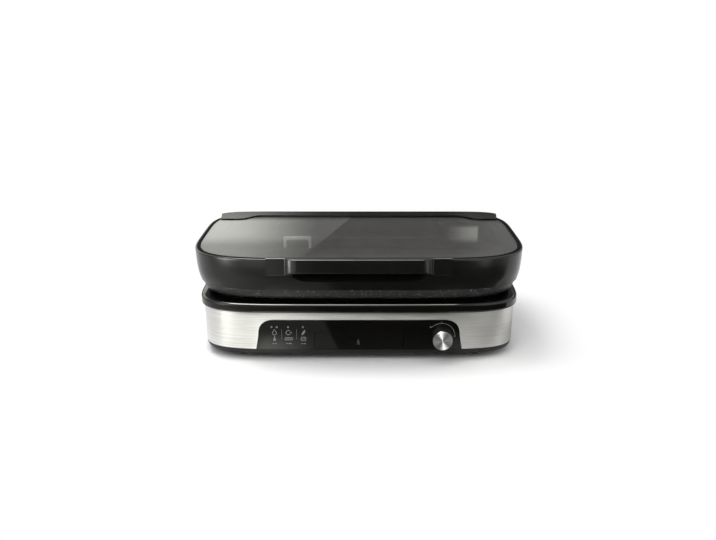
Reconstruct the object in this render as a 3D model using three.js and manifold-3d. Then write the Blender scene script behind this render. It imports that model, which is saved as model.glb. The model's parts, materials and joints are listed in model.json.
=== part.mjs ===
// Countertop electric grill with a hinged glass lid.
// Millimetres, +Z up, the control panel faces -Y, the feet stand on z = 0.
import * as THREE from "three";
import { mergeVertices } from "three/addons/utils/BufferGeometryUtils.js";
import Module from "manifold-3d";

const wasm = await Module();
wasm.setup();

// Clearances and cutting
const clear = 0.3; // gap between fixed neighbours
const running = 0.06; // radial play of a pin in its bush
const overrun = 6; // how far a cut runs past the piece it cuts
const weld = 1e-4; // corners nearer than this are one corner

// Plan outlines: rounded rectangles of the form |x/a|^n + |y/b|^n = 1
const outlineSteps = 48;
const roundSteps = 24;
const smallSteps = 12;
const cornerSteps = 5;
const lidPower = 4.6;
const basePower = 6;
const coverPower = 7;

const lid = {
  halfWidth: 228,
  halfDepth: 155,
  height: 44,
  bottomInset: 7.5,
  lowInset: 3.8,
  midInset: 1.2,
  lowHeight: 12.7,
  midHeight: 27.7,
  shoulderHeight: 40.7,
  lipDrop: 1.6,
  edgeBevel: 0.6,
  lipWidth: 2,
  wall: 3.5,
  ledgeWidth: 7,
  ledgeThickness: 3,
};
const glass = { thickness: 4 };
const seal = { width: 2, proud: 0.2 };
const retainer = { width: 20, frontWidth: 32, thickness: 3.2 };

const base = { setIn: 8, setBack: 4.5 };
const rim = {
  height: 13.8,
  bevel: 2,
  topWidth: 20,
  ledgeDrop: 4,
  ledgeWidth: 6,
  ledgeThickness: 2,
  skirtWidth: 8,
};
const band = { height: 51.3, wall: 1.5, topInset: 3.5, bottomInset: 5 };
const pan = { lip: 8.5, floor: 2.5, wall: 4, edgeBevel: 2.5, topInset: 5 };
const foot = { radius: 9, height: 7.2, bevel: 1, stemRadius: 3, insetX: 62, insetY: 38.5 };
const post = { radius: 5, insetX: 38, insetY: 35.5 };
const screw = { headRadius: 3.8, headHeight: 2, shankRadius: 1.8, length: 14 };

const panel = {
  topHalfWidth: 135,
  bottomHalfWidth: 138.5,
  height: 41.6,
  cornerRadius: 15,
  thickness: 3,
  proud: 0.6,
  holeRadius: 5,
};
const drawer = {
  halfWidth: 59,
  height: 23.6,
  gap: 0.6,
  cornerRadius: 1.5,
};
const tray = {
  sideInset: 9,
  depth: 152,
  height: 20.5,
  lift: 0.7,
  wall: 1.5,
  lipWidth: 6,
  lipThickness: 1.6,
};
const rail = { width: 4, length: 140 };

const plate = {
  lift: 3.5,
  wallHeight: 14.7,
  topInset: 8.5,
  bottomInset: 16,
  tuckInset: 20,
  tuckHeight: 1.8,
  rimWidth: 4,
  edgeBevel: 0.8,
  innerFootInset: 23,
  gutterInset: 27,
  gutterWidth: 9,
  stepWidth: 3,
  dropInset: 31,
  drop: 1.8,
  gutterFloor: 1.7,
  cookFace: 4.2,
};
const rib = {
  count: 13,
  pitch: 15,
  width: 5,
  topWidth: 3.4,
  height: 3,
  endInset: 57,
  sideInset: 50,
};
const drain = {
  radius: 5,
  wallThickness: 2.5,
  length: 9,
  wellHalfWidth: 15,
  fromEdge: 54,
  reflectorRadius: 13,
};
const tab = {
  x: -98.5,
  width: 45,
  height: 20,
  thickness: 3,
  barHeight: 6,
  legWidth: 5,
  fromEdge: 31.5,
};

const reflector = { sheet: 1, topGap: 1.3, depth: 24, floorInset: 38 };
const element = {
  radius: 3.3,
  sides: 6,
  steps: 96,
  aboveFloor: 13.5,
  cornerRadius: 18,
  endX: 20,
  innerX: 75,
  outerInset: 55,
  midY: -20,
  sideInset: 70.5,
  endInset: 22.5,
};
const insulator = { radius: 5, length: 8 };
const bracket = { thickness: 1.6, overhang: 7, window: 22 };
const sensor = { radius: 6, flangeRadius: 10, flangeHeight: 1.5, y: 32 };
const fuse = { radius: 3, length: 22, x: 55, y: 30 };

const powerBoard = {
  sideInset: 108,
  rearInset: 80.5,
  width: 90,
  depth: 76,
  thickness: 1.6,
  standoff: 7,
  standoffRadius: 3,
  edge: 6,
};
const relay = { width: 20, depth: 16, height: 15, fromX: 22, fromY: 14 };
const capacitor = { radius: 7, height: 18, fromX: 22, fromY: 16 };
const terminal = {
  besideGland: 28,
  rearInset: 66.5,
  width: 34,
  depth: 18,
  height: 14,
  ways: 3,
  wellRadius: 3,
  wellDepth: 6,
};
const gland = {
  x: 84,
  aboveBand: 16,
  radius: 6,
  bore: 4.2,
  flangeRadius: 9,
  flangeHeight: 2.5,
  innerLength: 12,
};

const controlBoard = {
  sideInset: 38,
  width: 66,
  height: 30,
  thickness: 1.6,
  setBack: 9,
  postRadius: 2.5,
  edge: 4,
};
const lens = {
  radius: 1.5,
  play: 0.2,
  aboveBand: 31.7,
  fromEdge: 0.2,
  shares: [0.197, 0.303, 0.53, 0.833],
};
const knob = {
  sideInset: 24,
  aboveBand: 17.8,
  gap: 0.9,
  skirtRadius: 15.2,
  noseRadius: 13.9,
  length: 15.2,
  edgeRadius: 1.2,
  capRadius: 12.9,
  capThickness: 1.6,
  capProud: 0.3,
  hubRadius: 6,
  hollowDepth: 9,
  wall: 2,
};
const shaft = { radius: 3, reach: 20, flat: 0.8 };
const control = { width: 24, depth: 13, neckRadius: 4.6, gap: 1.4 };

const hinge = {
  share: 0.57,
  behind: 2,
  aboveRim: 11.5,
  pinRadius: 2.5,
  bushRadius: 4.2,
  barrelRadius: 6.3,
  knuckle: 17.4,
  sideGap: 0.4,
  cheek: 8,
  footThickness: 3,
  footDepth: 9,
  legThickness: 3.6,
  legLength: 30,
  pillarGap: 2,
};
const arm = { thickness: 4, top: 30, waist: 11, screwHeight: 22, screwLength: 10 };
const cover = {
  sideInset: 8,
  outset: 2.6,
  skirtTop: 8,
  skirt: 6,
  rise: 0.9,
  roundInset: 2,
  roundDrop: 1.9,
  flatInset: 8,
  midWidth: 35.4,
  endWidth: 62,
  endLength: 30,
  bendLength: 38,
};
const grip = {
  faceHalfWidth: 86,
  cornerWidth: 11,
  flareWidth: 25,
  reach: 8,
  height: 23,
  rise: 1.5,
  wall: 3,
  roof: 4,
  undercut: 5,
  root: 6,
};
const pocket = { sideGap: 3, depth: 14, top: 33, bottom: 7, slope: 12, wall: 3 };
const gripScrew = {
  below: 13,
  headRadius: 3,
  headHeight: 1.8,
  shankRadius: 1.5,
  length: 8.5,
};

// Heights worked out from the feet up
const z = {};
z.panBottom = foot.height;
z.panFloor = z.panBottom + pan.floor;
z.bandBottom = z.panBottom + pan.lip;
z.bandTop = z.bandBottom + band.height;
z.rimTop = z.bandTop + rim.height;
z.rimLedge = z.rimTop - rim.ledgeDrop;
z.rimUnder = z.rimLedge - rim.ledgeThickness;
z.plateWall = z.rimTop + plate.lift;
z.plateTop = z.plateWall + plate.wallHeight;
z.plateUnder = z.plateWall - plate.drop;
z.gutter = z.plateWall + plate.gutterFloor;
z.cookFace = z.plateWall + plate.cookFace;
z.lidBottom = z.plateTop + clear;
z.glassTop = z.plateTop + lid.height;
z.glassUnder = z.glassTop - glass.thickness;
z.lidLedge = z.glassUnder - clear;
z.reflectorFlange = z.rimLedge + clear;
z.reflectorFloor = z.reflectorFlange + reflector.sheet - reflector.depth;
z.element = z.reflectorFloor + reflector.sheet + element.aboveFloor;
z.pivot = z.rimTop + hinge.aboveRim;
z.coverTop = z.glassTop + seal.proud + clear + cover.rise;

// Places worked out from the piece that each one follows
const baseHalfWidth = lid.halfWidth - base.setIn;
const baseHalfDepth = lid.halfDepth - base.setBack;
const knobX = panel.topHalfWidth - knob.sideInset;
const controlBoardX = -(panel.topHalfWidth - controlBoard.sideInset);
const trayHalfWidth = drawer.halfWidth - tray.sideInset;
const powerBoardX = -(baseHalfWidth - powerBoard.sideInset);
const powerBoardY = baseHalfDepth - powerBoard.rearInset;
const elementOuterX = baseHalfWidth - element.outerInset;
const elementSideY = baseHalfDepth - element.sideInset;
const elementEndY = baseHalfDepth - element.endInset;
const ribHalfLength = lid.halfDepth - rib.endInset;
const ribStartX = -(lid.halfWidth - rib.sideInset);
const hingeX = lid.halfWidth * hinge.share;
const gripScrewX = grip.faceHalfWidth + grip.cornerWidth;
const pivotY = lid.halfDepth + hinge.behind;
const bandTilt = Math.atan2(band.bottomInset - band.topInset, band.height);

// One ring of the lid's outline, and one of the base's, drawn in from the outermost one
function lidLevel(inset, height, power = lidPower) {
  return { halfWidth: lid.halfWidth - inset, halfDepth: lid.halfDepth - inset, height, power };
}

function baseLevel(inset, height) {
  return {
    halfWidth: baseHalfWidth - inset,
    halfDepth: baseHalfDepth - inset,
    height,
    power: basePower,
  };
}

function ringPoint(level, turn) {
  const across = Math.cos(turn);
  const along = Math.sin(turn);
  const x = level.halfWidth * Math.sign(across) * Math.abs(across) ** (2 / level.power);
  const y = level.halfDepth * Math.sign(along) * Math.abs(along) ** (2 / level.power);
  return [x, y + (level.shift ?? 0), level.height];
}

// A body through a stack of rings: capped at both ends, or closed on itself as a hoop
function loft(levels, hoop = false) {
  const positions = [];
  const index = [];
  const rings = levels.length;
  levels.forEach((level) => {
    for (let i = 0; i < outlineSteps; i += 1) {
      positions.push(...ringPoint(level, (2 * Math.PI * i) / outlineSteps));
    }
  });
  const walls = hoop ? rings : rings - 1;
  for (let k = 0; k < walls; k += 1) {
    const low = k * outlineSteps;
    const high = ((k + 1) % rings) * outlineSteps;
    for (let i = 0; i < outlineSteps; i += 1) {
      const next = (i + 1) % outlineSteps;
      index.push(low + i, low + next, high + next);
      index.push(low + i, high + next, high + i);
    }
  }
  if (!hoop) {
    const last = levels[rings - 1];
    const first = levels[0];
    positions.push(0, first.shift ?? 0, first.height);
    positions.push(0, last.shift ?? 0, last.height);
    const bottom = rings * outlineSteps;
    const top = bottom + 1;
    for (let i = 0; i < outlineSteps; i += 1) {
      const next = (i + 1) % outlineSteps;
      index.push(bottom, next, i);
      index.push(top, (rings - 1) * outlineSteps + i, (rings - 1) * outlineSteps + next);
    }
  }
  const geometry = new THREE.BufferGeometry();
  geometry.setAttribute("position", new THREE.Float32BufferAttribute(positions, 3));
  geometry.setIndex(index);
  return geometry;
}

// Joining and cutting
function solid(geometry) {
  const bare = new THREE.BufferGeometry();
  bare.setAttribute("position", geometry.getAttribute("position"));
  bare.setIndex(geometry.getIndex());
  const merged = mergeVertices(bare, weld);
  const mesh = new wasm.Mesh({
    numProp: 3,
    vertProperties: merged.getAttribute("position").array,
    triVerts: new Uint32Array(merged.getIndex().array),
  });
  return new wasm.Manifold(mesh);
}

function shapeOf(body) {
  const mesh = body.getMesh();
  const geometry = new THREE.BufferGeometry();
  geometry.setAttribute("position", new THREE.BufferAttribute(mesh.vertProperties, 3));
  geometry.setIndex(new THREE.BufferAttribute(mesh.triVerts, 1));
  const flat = geometry.toNonIndexed();
  flat.computeVertexNormals();
  return flat;
}

function block(x0, x1, y0, y1, z0, z1) {
  const geometry = new THREE.BoxGeometry(x1 - x0, y1 - y0, z1 - z0);
  return geometry.translate((x0 + x1) / 2, (y0 + y1) / 2, (z0 + z1) / 2);
}

// A rod whose middle is at (x, y, height) and whose length lies along one axis
function rod(axis, radius, length, x, y, height, sides = roundSteps) {
  const geometry = new THREE.CylinderGeometry(radius, radius, length, sides);
  if (axis === "x") {
    geometry.rotateZ(Math.PI / 2);
  }
  if (axis === "z") {
    geometry.rotateX(Math.PI / 2);
  }
  return geometry.translate(x, y, height);
}

// A plan drawn in x and y and raised from one height to another
function raised(shape, low, high) {
  const geometry = new THREE.ExtrudeGeometry(shape, {
    depth: high - low,
    bevelEnabled: false,
    curveSegments: cornerSteps,
  });
  return geometry.translate(0, 0, low);
}

// A front view drawn in x and z and carried from y0 back to y1
function frontal(shape, y0, y1) {
  const geometry = new THREE.ExtrudeGeometry(shape, {
    depth: y1 - y0,
    bevelEnabled: false,
    curveSegments: cornerSteps,
  });
  return geometry.rotateX(Math.PI / 2).translate(0, y1, 0);
}

// A side view drawn in y and z and carried from x0 across to x1
function lateral(shape, x0, x1) {
  const geometry = new THREE.ExtrudeGeometry(shape, {
    depth: x1 - x0,
    bevelEnabled: false,
    curveSegments: cornerSteps,
  });
  return geometry.rotateZ(Math.PI / 2).rotateY(Math.PI / 2).translate(x0, 0, 0);
}

function polygon(points) {
  return new THREE.Shape(points.map(([a, b]) => new THREE.Vector2(a, b)));
}

function roundedRectangle(x0, x1, y0, y1, radius) {
  const shape = new THREE.Shape();
  shape.moveTo(x0 + radius, y0);
  shape.lineTo(x1 - radius, y0);
  shape.absarc(x1 - radius, y0 + radius, radius, -Math.PI / 2, 0);
  shape.lineTo(x1, y1 - radius);
  shape.absarc(x1 - radius, y1 - radius, radius, 0, Math.PI / 2);
  shape.lineTo(x0 + radius, y1);
  shape.absarc(x0 + radius, y1 - radius, radius, Math.PI / 2, Math.PI);
  shape.lineTo(x0, y0 + radius);
  shape.absarc(x0 + radius, y0 + radius, radius, Math.PI, 1.5 * Math.PI);
  return shape;
}

// A turned piece about the z axis, from a profile of [radius, height] points
function turned(profile, sides = roundSteps) {
  const points = profile.map(([radius, height]) => new THREE.Vector2(radius, height));
  return new THREE.LatheGeometry(points, sides).rotateX(Math.PI / 2);
}

function finish(color, roughness, metalness = 0) {
  return new THREE.MeshStandardMaterial({ color, roughness, metalness });
}

function addPiece(group, name, geometry, material) {
  const mesh = new THREE.Mesh(geometry, material);
  mesh.name = name;
  group.add(mesh);
  return mesh;
}

const flanks = [
  { name: "left", sign: -1 },
  { name: "right", sign: 1 },
];
const ends = [
  { name: "front", sign: -1 },
  { name: "rear", sign: 1 },
];

// The steel band's front or rear face at a height: how far in it lies, and its y at an x
function bandInset(height) {
  const share = (height - z.bandBottom) / band.height;
  return band.bottomInset + share * (band.topInset - band.bottomInset);
}

function bandY(x, height) {
  const inset = bandInset(height);
  const share = Math.abs(x) / (baseHalfWidth - inset);
  return -(baseHalfDepth - inset) * (1 - share ** basePower) ** (1 / basePower);
}

// Everything inside the band's outer face, drawn in by an inset, for panels that follow the band
function bandCore(inset) {
  const low = z.bandBottom - overrun;
  const high = z.bandTop + overrun;
  return solid(loft([baseLevel(bandInset(low) + inset, low), baseLevel(bandInset(high) + inset, high)]));
}

function panelOutline(grow, drop) {
  const bottom = z.bandBottom - drop;
  const top = z.bandBottom + panel.height + grow;
  const lean = (panel.bottomHalfWidth - panel.topHalfWidth) / panel.height;
  const low = panel.bottomHalfWidth + grow + lean * drop;
  const high = panel.topHalfWidth + grow;
  const round = panel.cornerRadius;
  const shape = new THREE.Shape();
  shape.moveTo(-low, bottom);
  shape.lineTo(low, bottom);
  shape.lineTo(high, top - round);
  shape.quadraticCurveTo(high, top, high - round, top);
  shape.lineTo(round - high, top);
  shape.quadraticCurveTo(-high, top, -high, top - round);
  return shape;
}

// A plate that follows the band's front face within a front view
function facing(shape, outerInset, innerInset) {
  const prism = solid(frontal(shape, -baseHalfDepth - overrun, 0));
  return prism.intersect(bandCore(outerInset)).subtract(bandCore(innerInset));
}

const grill = new THREE.Group();
const baseGroup = new THREE.Group();
const knobGroup = new THREE.Group();
const trayGroup = new THREE.Group();
const lidGroup = new THREE.Group();
grill.add(baseGroup, trayGroup, lidGroup);
baseGroup.add(knobGroup);

const blackPlastic = () => finish(0x141414, 0.45);
const glossBlack = () => finish(0x0b0b0b, 0.12);
const steel = () => finish(0x9a9a98, 0.35, 1);
const castCoating = () => finish(0x2b2b2b, 0.6);
const rubber = () => finish(0x101010, 0.85);
const board = () => finish(0x1f5a2c, 0.6);

// Bottom pan with its lip, board standoffs and holes
function makePan() {
  const lipTop = z.bandBottom - clear;
  let body = solid(
    loft([
      baseLevel(pan.topInset + pan.edgeBevel + pan.edgeBevel / 2, z.panBottom),
      baseLevel(pan.topInset + pan.edgeBevel / 2, z.panBottom + pan.edgeBevel),
      baseLevel(pan.topInset, lipTop),
      baseLevel(pan.topInset + pan.wall, lipTop),
      baseLevel(pan.topInset + pan.wall + pan.edgeBevel / 2, z.panFloor),
    ]),
  );
  const postHeight = powerBoard.standoff;
  [-1, 1].forEach((signX) => {
    [-1, 1].forEach((signY) => {
      const x = powerBoardX + signX * (powerBoard.width / 2 - powerBoard.edge);
      const y = powerBoardY + signY * (powerBoard.depth / 2 - powerBoard.edge);
      const middle = z.panFloor + postHeight / 2;
      const standoff = rod("z", powerBoard.standoffRadius, postHeight, x, y, middle, smallSteps);
      body = body.add(solid(standoff));
      const footX = signX * (baseHalfWidth - foot.insetX);
      const footY = signY * (baseHalfDepth - foot.insetY);
      const length = pan.floor + 2 * overrun;
      const holeZ = z.panBottom + pan.floor / 2;
      const footHole = rod("z", foot.stemRadius + clear, length, footX, footY, holeZ, smallSteps);
      const screwX = signX * (baseHalfWidth - post.insetX);
      const screwY = signY * (baseHalfDepth - post.insetY);
      const screwHole = rod("z", screw.shankRadius + clear, length, screwX, screwY, holeZ, smallSteps);
      body = body.subtract(solid(footHole)).subtract(solid(screwHole));
    });
  });
  addPiece(baseGroup, "base_pan", shapeOf(body), blackPlastic());
}

// Brushed steel band round the base, open at the front for the control panel
function makeBand() {
  const hoop = loft(
    [
      baseLevel(band.bottomInset, z.bandBottom),
      baseLevel(band.topInset, z.bandTop),
      baseLevel(band.topInset + band.wall, z.bandTop),
      baseLevel(band.bottomInset + band.wall, z.bandBottom),
    ],
    true,
  );
  const opening = frontal(panelOutline(clear, overrun), -baseHalfDepth - overrun, 0);
  const holeRadius = gland.radius + clear;
  const glandHole = rod("y", holeRadius, 2 * baseHalfDepth, gland.x, baseHalfDepth, glandHeight());
  const body = solid(hoop).subtract(solid(opening)).subtract(solid(glandHole));
  addPiece(baseGroup, "steel_band", shapeOf(body), steel());
}

function glandHeight() {
  return z.bandBottom + gland.aboveBand;
}

// Gloss rim on top of the band, with a ledge for the reflector and four screw posts
function makeRim() {
  const bottom = z.bandTop + clear;
  let body = solid(
    loft(
      [
        baseLevel(rim.bevel, bottom),
        baseLevel(0, bottom + rim.bevel),
        baseLevel(0, z.rimTop - rim.bevel),
        baseLevel(rim.bevel, z.rimTop),
        baseLevel(rim.topWidth, z.rimTop),
        baseLevel(rim.topWidth, z.rimLedge),
        baseLevel(rim.topWidth + rim.ledgeWidth, z.rimLedge),
        baseLevel(rim.topWidth + rim.ledgeWidth, z.rimUnder),
        baseLevel(rim.skirtWidth, z.rimUnder),
        baseLevel(rim.skirtWidth, bottom),
      ],
      true,
    ),
  );
  const low = z.panFloor + clear;
  const postLength = z.rimUnder + rim.ledgeThickness / 2 - low;
  const boreLength = screw.length + overrun;
  // Pads on the rim's top carry the plate
  const padTop = z.plateWall - clear;
  [-1, 1].forEach((signX) => {
    [-1, 1].forEach((signY) => {
      const x = signX * (baseHalfWidth - post.insetX);
      const y = signY * (baseHalfDepth - post.insetY);
      body = body.add(solid(rod("z", post.radius, postLength, x, y, low + postLength / 2, smallSteps)));
      const boreZ = low + boreLength / 2 - overrun;
      const bore = rod("z", screw.shankRadius + clear, boreLength, x, y, boreZ, smallSteps);
      body = body.subtract(solid(bore));
      const padX = signX * (baseHalfWidth - rim.topWidth + post.radius + clear);
      const padLength = padTop - z.rimTop + rim.ledgeDrop / 2;
      const padZ = padTop - padLength / 2;
      body = body.add(solid(rod("z", post.radius / 2, padLength, padX, y / 2, padZ, smallSteps)));
    });
  });
  addPiece(baseGroup, "base_rim", shapeOf(body), glossBlack());
}

function makeFeetAndScrews() {
  ends.forEach((end) => {
    flanks.forEach((side) => {
      const stemTop = z.panFloor + foot.bevel;
      const footMesh = addPiece(
        baseGroup,
        "foot_" + end.name + "_" + side.name,
        turned(
          [
            [0, 0],
            [foot.radius - foot.bevel, 0],
            [foot.radius, foot.bevel],
            [foot.radius, z.panBottom - clear],
            [foot.stemRadius, z.panBottom - clear],
            [foot.stemRadius, stemTop],
            [0, stemTop],
          ],
          smallSteps,
        ),
        rubber(),
      );
      footMesh.position.set(
        side.sign * (baseHalfWidth - foot.insetX),
        end.sign * (baseHalfDepth - foot.insetY),
        0,
      );
      const screwMesh = addPiece(
        baseGroup,
        "base_screw_" + end.name + "_" + side.name,
        turned(
          [
            [0, -screw.headHeight - clear],
            [screw.headRadius - screw.headHeight / 2, -screw.headHeight - clear],
            [screw.headRadius, -screw.headHeight / 2],
            [screw.headRadius, -clear],
            [screw.shankRadius, -clear],
            [screw.shankRadius, screw.length],
            [0, screw.length],
          ],
          smallSteps,
        ),
        steel(),
      );
      screwMesh.position.set(
        side.sign * (baseHalfWidth - post.insetX),
        end.sign * (baseHalfDepth - post.insetY),
        z.panBottom,
      );
    });
  });
}

// Control panel, the lamps in it, and the board behind it
function makeControlPanel() {
  const shape = panelOutline(0, 0);
  let body = facing(shape, -panel.proud, panel.thickness);
  const mouth = roundedRectangle(
    -drawer.halfWidth - drawer.gap,
    drawer.halfWidth + drawer.gap,
    z.bandBottom - overrun,
    z.bandBottom + drawer.height + drawer.gap,
    drawer.cornerRadius,
  );
  body = body.subtract(solid(frontal(mouth, -baseHalfDepth - overrun, 0)));
  const height = z.bandBottom + lens.aboveBand;
  const boardFace = bandY(controlBoardX, z.bandBottom) + panel.thickness + controlBoard.setBack;
  lens.shares.forEach((share, i) => {
    const x = controlBoardX + (share - 0.5) * controlBoard.width;
    const face = bandY(x, height);
    const bore = rod("y", lens.radius + lens.play, 2 * overrun, x, face, height, smallSteps);
    body = body.subtract(solid(bore));
    const front = face - panel.proud - lens.fromEdge;
    const length = boardFace - clear - front;
    const mesh = addPiece(
      baseGroup,
      "status_lens_" + (i + 1),
      rod("y", lens.radius, length, 0, 0, 0, smallSteps),
      finish(0xdde4e6, 0.3),
    );
    mesh.position.set(x, front + length / 2, height);
  });
  // Two posts on the panel's back hold the board
  const boardBottom = z.bandBottom + controlBoard.edge;
  const boardMiddle = boardBottom + controlBoard.height / 2;
  [-1, 1].forEach((sign) => {
    const x = controlBoardX + sign * (controlBoard.width / 2 - controlBoard.edge);
    const start = bandY(x, boardMiddle) + panel.thickness / 2;
    const length = boardFace - clear - start;
    const middle = start + length / 2;
    const boardPost = rod("y", controlBoard.postRadius, length, x, middle, boardMiddle, smallSteps);
    body = body.add(solid(boardPost));
  });
  const shaftY = bandY(knobX, knobHeight());
  const hole = rod("y", panel.holeRadius, 4 * overrun, 0, 0, 0);
  hole.rotateX(bandTilt).translate(knobX, shaftY, knobHeight());
  body = body.subtract(solid(hole));
  addPiece(baseGroup, "control_panel", shapeOf(body), glossBlack());
  const boardShape = block(
    -controlBoard.width / 2,
    controlBoard.width / 2,
    0,
    controlBoard.thickness,
    0,
    controlBoard.height,
  );
  const boardMesh = addPiece(baseGroup, "control_board", boardShape, board());
  boardMesh.position.set(controlBoardX, boardFace, boardBottom);
}

function knobHeight() {
  return z.bandBottom + knob.aboveBand;
}

// Knob, its cap and shaft, and the rotary control behind the panel, square to the leaning face
function makeKnob() {
  knobGroup.position.set(knobX, bandY(knobX, knobHeight()), knobHeight());
  knobGroup.rotation.x = bandTilt + Math.PI / 2;
  const back = panel.proud + knob.gap;
  const nose = back + knob.length;
  const seat = nose - knob.capThickness;
  const hollow = back + knob.hollowDepth;
  const skirtInner = knob.skirtRadius - knob.wall;
  const noseInner = knob.noseRadius - knob.wall;
  const boreRadius = shaft.radius + clear;
  const boreEnd = seat - knob.wall;
  const bodyShape = turned(
    [
      [boreRadius, back],
      [knob.hubRadius, back],
      [knob.hubRadius, hollow],
      [noseInner, hollow],
      [skirtInner, back],
      [knob.skirtRadius, back],
      [knob.noseRadius, nose - knob.edgeRadius],
      [knob.noseRadius - knob.edgeRadius / 3, nose],
      [knob.capRadius + clear, nose],
      [knob.capRadius + clear, seat],
      [0, seat],
      [0, boreEnd],
      [boreRadius, boreEnd],
      [boreRadius, back],
    ],
    2 * roundSteps,
  );
  addPiece(knobGroup, "knob_body", bodyShape, blackPlastic());
  const capShape = turned(
    [
      [0, seat + clear],
      [knob.capRadius, seat + clear],
      [knob.capRadius, nose],
      [knob.capRadius - knob.capProud, nose + knob.capProud],
      [0, nose + knob.capProud],
    ],
    2 * roundSteps,
  );
  addPiece(knobGroup, "knob_cap", capShape, finish(0xb9b9b7, 0.25, 1));
  const shaftEnd = nose - knob.capThickness - knob.wall - clear;
  const shaftTail = shaftEnd - knob.length - shaft.reach;
  const shaftRod = rod("z", shaft.radius, shaftEnd - shaftTail, 0, 0, (shaftEnd + shaftTail) / 2);
  const flat = block(
    shaft.radius - shaft.flat,
    shaft.radius + overrun,
    -shaft.radius - overrun,
    shaft.radius + overrun,
    back,
    shaftEnd + overrun,
  );
  addPiece(knobGroup, "knob_shaft", shapeOf(solid(shaftRod).subtract(solid(flat))), steel());
  const controlFront = -panel.thickness - control.gap;
  const controlBack = controlFront - control.depth;
  const half = control.width / 2;
  const can = solid(block(-half, half, -half, half, controlBack, controlFront));
  const neckLength = panel.thickness + control.gap;
  const neck = solid(rod("z", control.neckRadius, neckLength, 0, 0, controlFront + neckLength / 2));
  const boreMiddle = (controlBack + overrun) / 2;
  const bore = solid(rod("z", boreRadius, overrun - controlBack + 2 * overrun, 0, 0, boreMiddle));
  const controlBody = can.add(neck).subtract(bore);
  addPiece(knobGroup, "rotary_control", shapeOf(controlBody), finish(0x6d7073, 0.5, 0.6));
}

// Drip tray, its front and its two runners
function makeTray() {
  const bottom = z.bandBottom + tray.lift;
  const top = bottom + tray.height;
  const frontY = bandY(0, z.bandBottom) + panel.thickness + clear;
  const backY = frontY + tray.depth;
  const outside = solid(block(-trayHalfWidth, trayHalfWidth, frontY, backY, bottom, top));
  const inner = trayHalfWidth - tray.wall;
  const hollow = block(
    -inner,
    inner,
    frontY + tray.wall,
    backY - tray.wall,
    bottom + tray.wall,
    top + overrun,
  );
  const lipEdge = trayHalfWidth + tray.lipWidth;
  const lips = block(-lipEdge, lipEdge, frontY, backY, top - tray.lipThickness, top);
  const body = outside.add(solid(lips)).subtract(solid(hollow));
  addPiece(trayGroup, "drip_tray", shapeOf(body), finish(0x1a1a1a, 0.5));
  const frontShape = roundedRectangle(
    -drawer.halfWidth,
    drawer.halfWidth,
    z.bandBottom + clear,
    z.bandBottom + drawer.height,
    drawer.cornerRadius,
  );
  const front = facing(frontShape, -panel.proud, panel.thickness);
  addPiece(trayGroup, "drip_tray_front", shapeOf(front), glossBlack());
  const railTop = top - tray.lipThickness - clear;
  flanks.forEach((side) => {
    const near = trayHalfWidth + (tray.lipWidth - rail.width) / 2;
    const mesh = addPiece(
      baseGroup,
      "tray_runner_" + side.name,
      block(-rail.width / 2, rail.width / 2, 0, rail.length, z.panFloor, railTop),
      steel(),
    );
    mesh.position.set(side.sign * (near + rail.width / 2), frontY + panel.thickness, 0);
  });
}

// Cast plate: leaning outer wall, gutter, ribbed and smooth cooking faces, drain and spout
function makePlate() {
  const cookInset = plate.gutterInset + plate.gutterWidth + plate.stepWidth;
  let body = solid(
    loft([
      lidLevel(plate.dropInset, z.plateUnder),
      lidLevel(plate.dropInset, z.plateWall),
      lidLevel(plate.tuckInset, z.plateWall),
      lidLevel(plate.bottomInset, z.plateWall + plate.tuckHeight),
      lidLevel(plate.topInset, z.plateTop - plate.edgeBevel),
      lidLevel(plate.topInset + plate.edgeBevel, z.plateTop),
      lidLevel(plate.topInset + plate.rimWidth, z.plateTop),
      lidLevel(plate.innerFootInset, z.cookFace),
      lidLevel(plate.gutterInset, z.gutter),
      lidLevel(plate.gutterInset + plate.gutterWidth, z.gutter),
      lidLevel(cookInset, z.cookFace),
    ]),
  );
  const lowRib = rib.width / 2;
  const highRib = rib.topWidth / 2;
  const sunk = z.cookFace - rib.height / 2;
  for (let i = 0; i < rib.count; i += 1) {
    const x = ribStartX + i * rib.pitch;
    const section = polygon([
      [x - lowRib, sunk],
      [x + lowRib, sunk],
      [x + highRib, z.cookFace + rib.height],
      [x - highRib, z.cookFace + rib.height],
    ]);
    body = body.add(solid(frontal(section, -ribHalfLength, ribHalfLength)));
  }
  const drainY = drainPlace();
  const spoutBottom = z.plateUnder - drain.length;
  const spoutLength = z.plateUnder + plate.drop - spoutBottom;
  const spoutRadius = drain.radius + drain.wallThickness;
  body = body.add(solid(rod("z", spoutRadius, spoutLength, 0, drainY, spoutBottom + spoutLength / 2)));
  const well = block(
    -drain.wellHalfWidth,
    drain.wellHalfWidth,
    -lid.halfDepth + plate.gutterInset + plate.gutterWidth / 2,
    drainY + spoutRadius,
    z.gutter,
    z.cookFace + overrun,
  );
  const boreLength = z.cookFace - spoutBottom + 2 * overrun;
  const bore = rod("z", drain.radius, boreLength, 0, drainY, spoutBottom + boreLength / 2 - overrun);
  body = body.subtract(solid(well)).subtract(solid(bore));
  addPiece(baseGroup, "grill_plate", shapeOf(body), castCoating());
  // Bent steel tab that stands in the rear gutter
  const half = tab.width / 2;
  const leg = half - tab.legWidth;
  const tabFoot = z.gutter + clear;
  const tabTop = tabFoot + tab.height;
  const barLow = tabTop - tab.barHeight;
  const tabShape = polygon([
    [-half, tabFoot],
    [-leg, tabFoot],
    [-leg, barLow],
    [leg, barLow],
    [leg, tabFoot],
    [half, tabFoot],
    [half, tabTop],
    [-half, tabTop],
  ]);
  const tabY = lid.halfDepth - tab.fromEdge;
  const tabMesh = addPiece(baseGroup, "plate_lift_tab", frontal(tabShape, 0, tab.thickness), steel());
  tabMesh.position.set(tab.x, tabY - tab.thickness / 2, 0);
}

function drainPlace() {
  return -(lid.halfDepth - drain.fromEdge);
}

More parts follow.
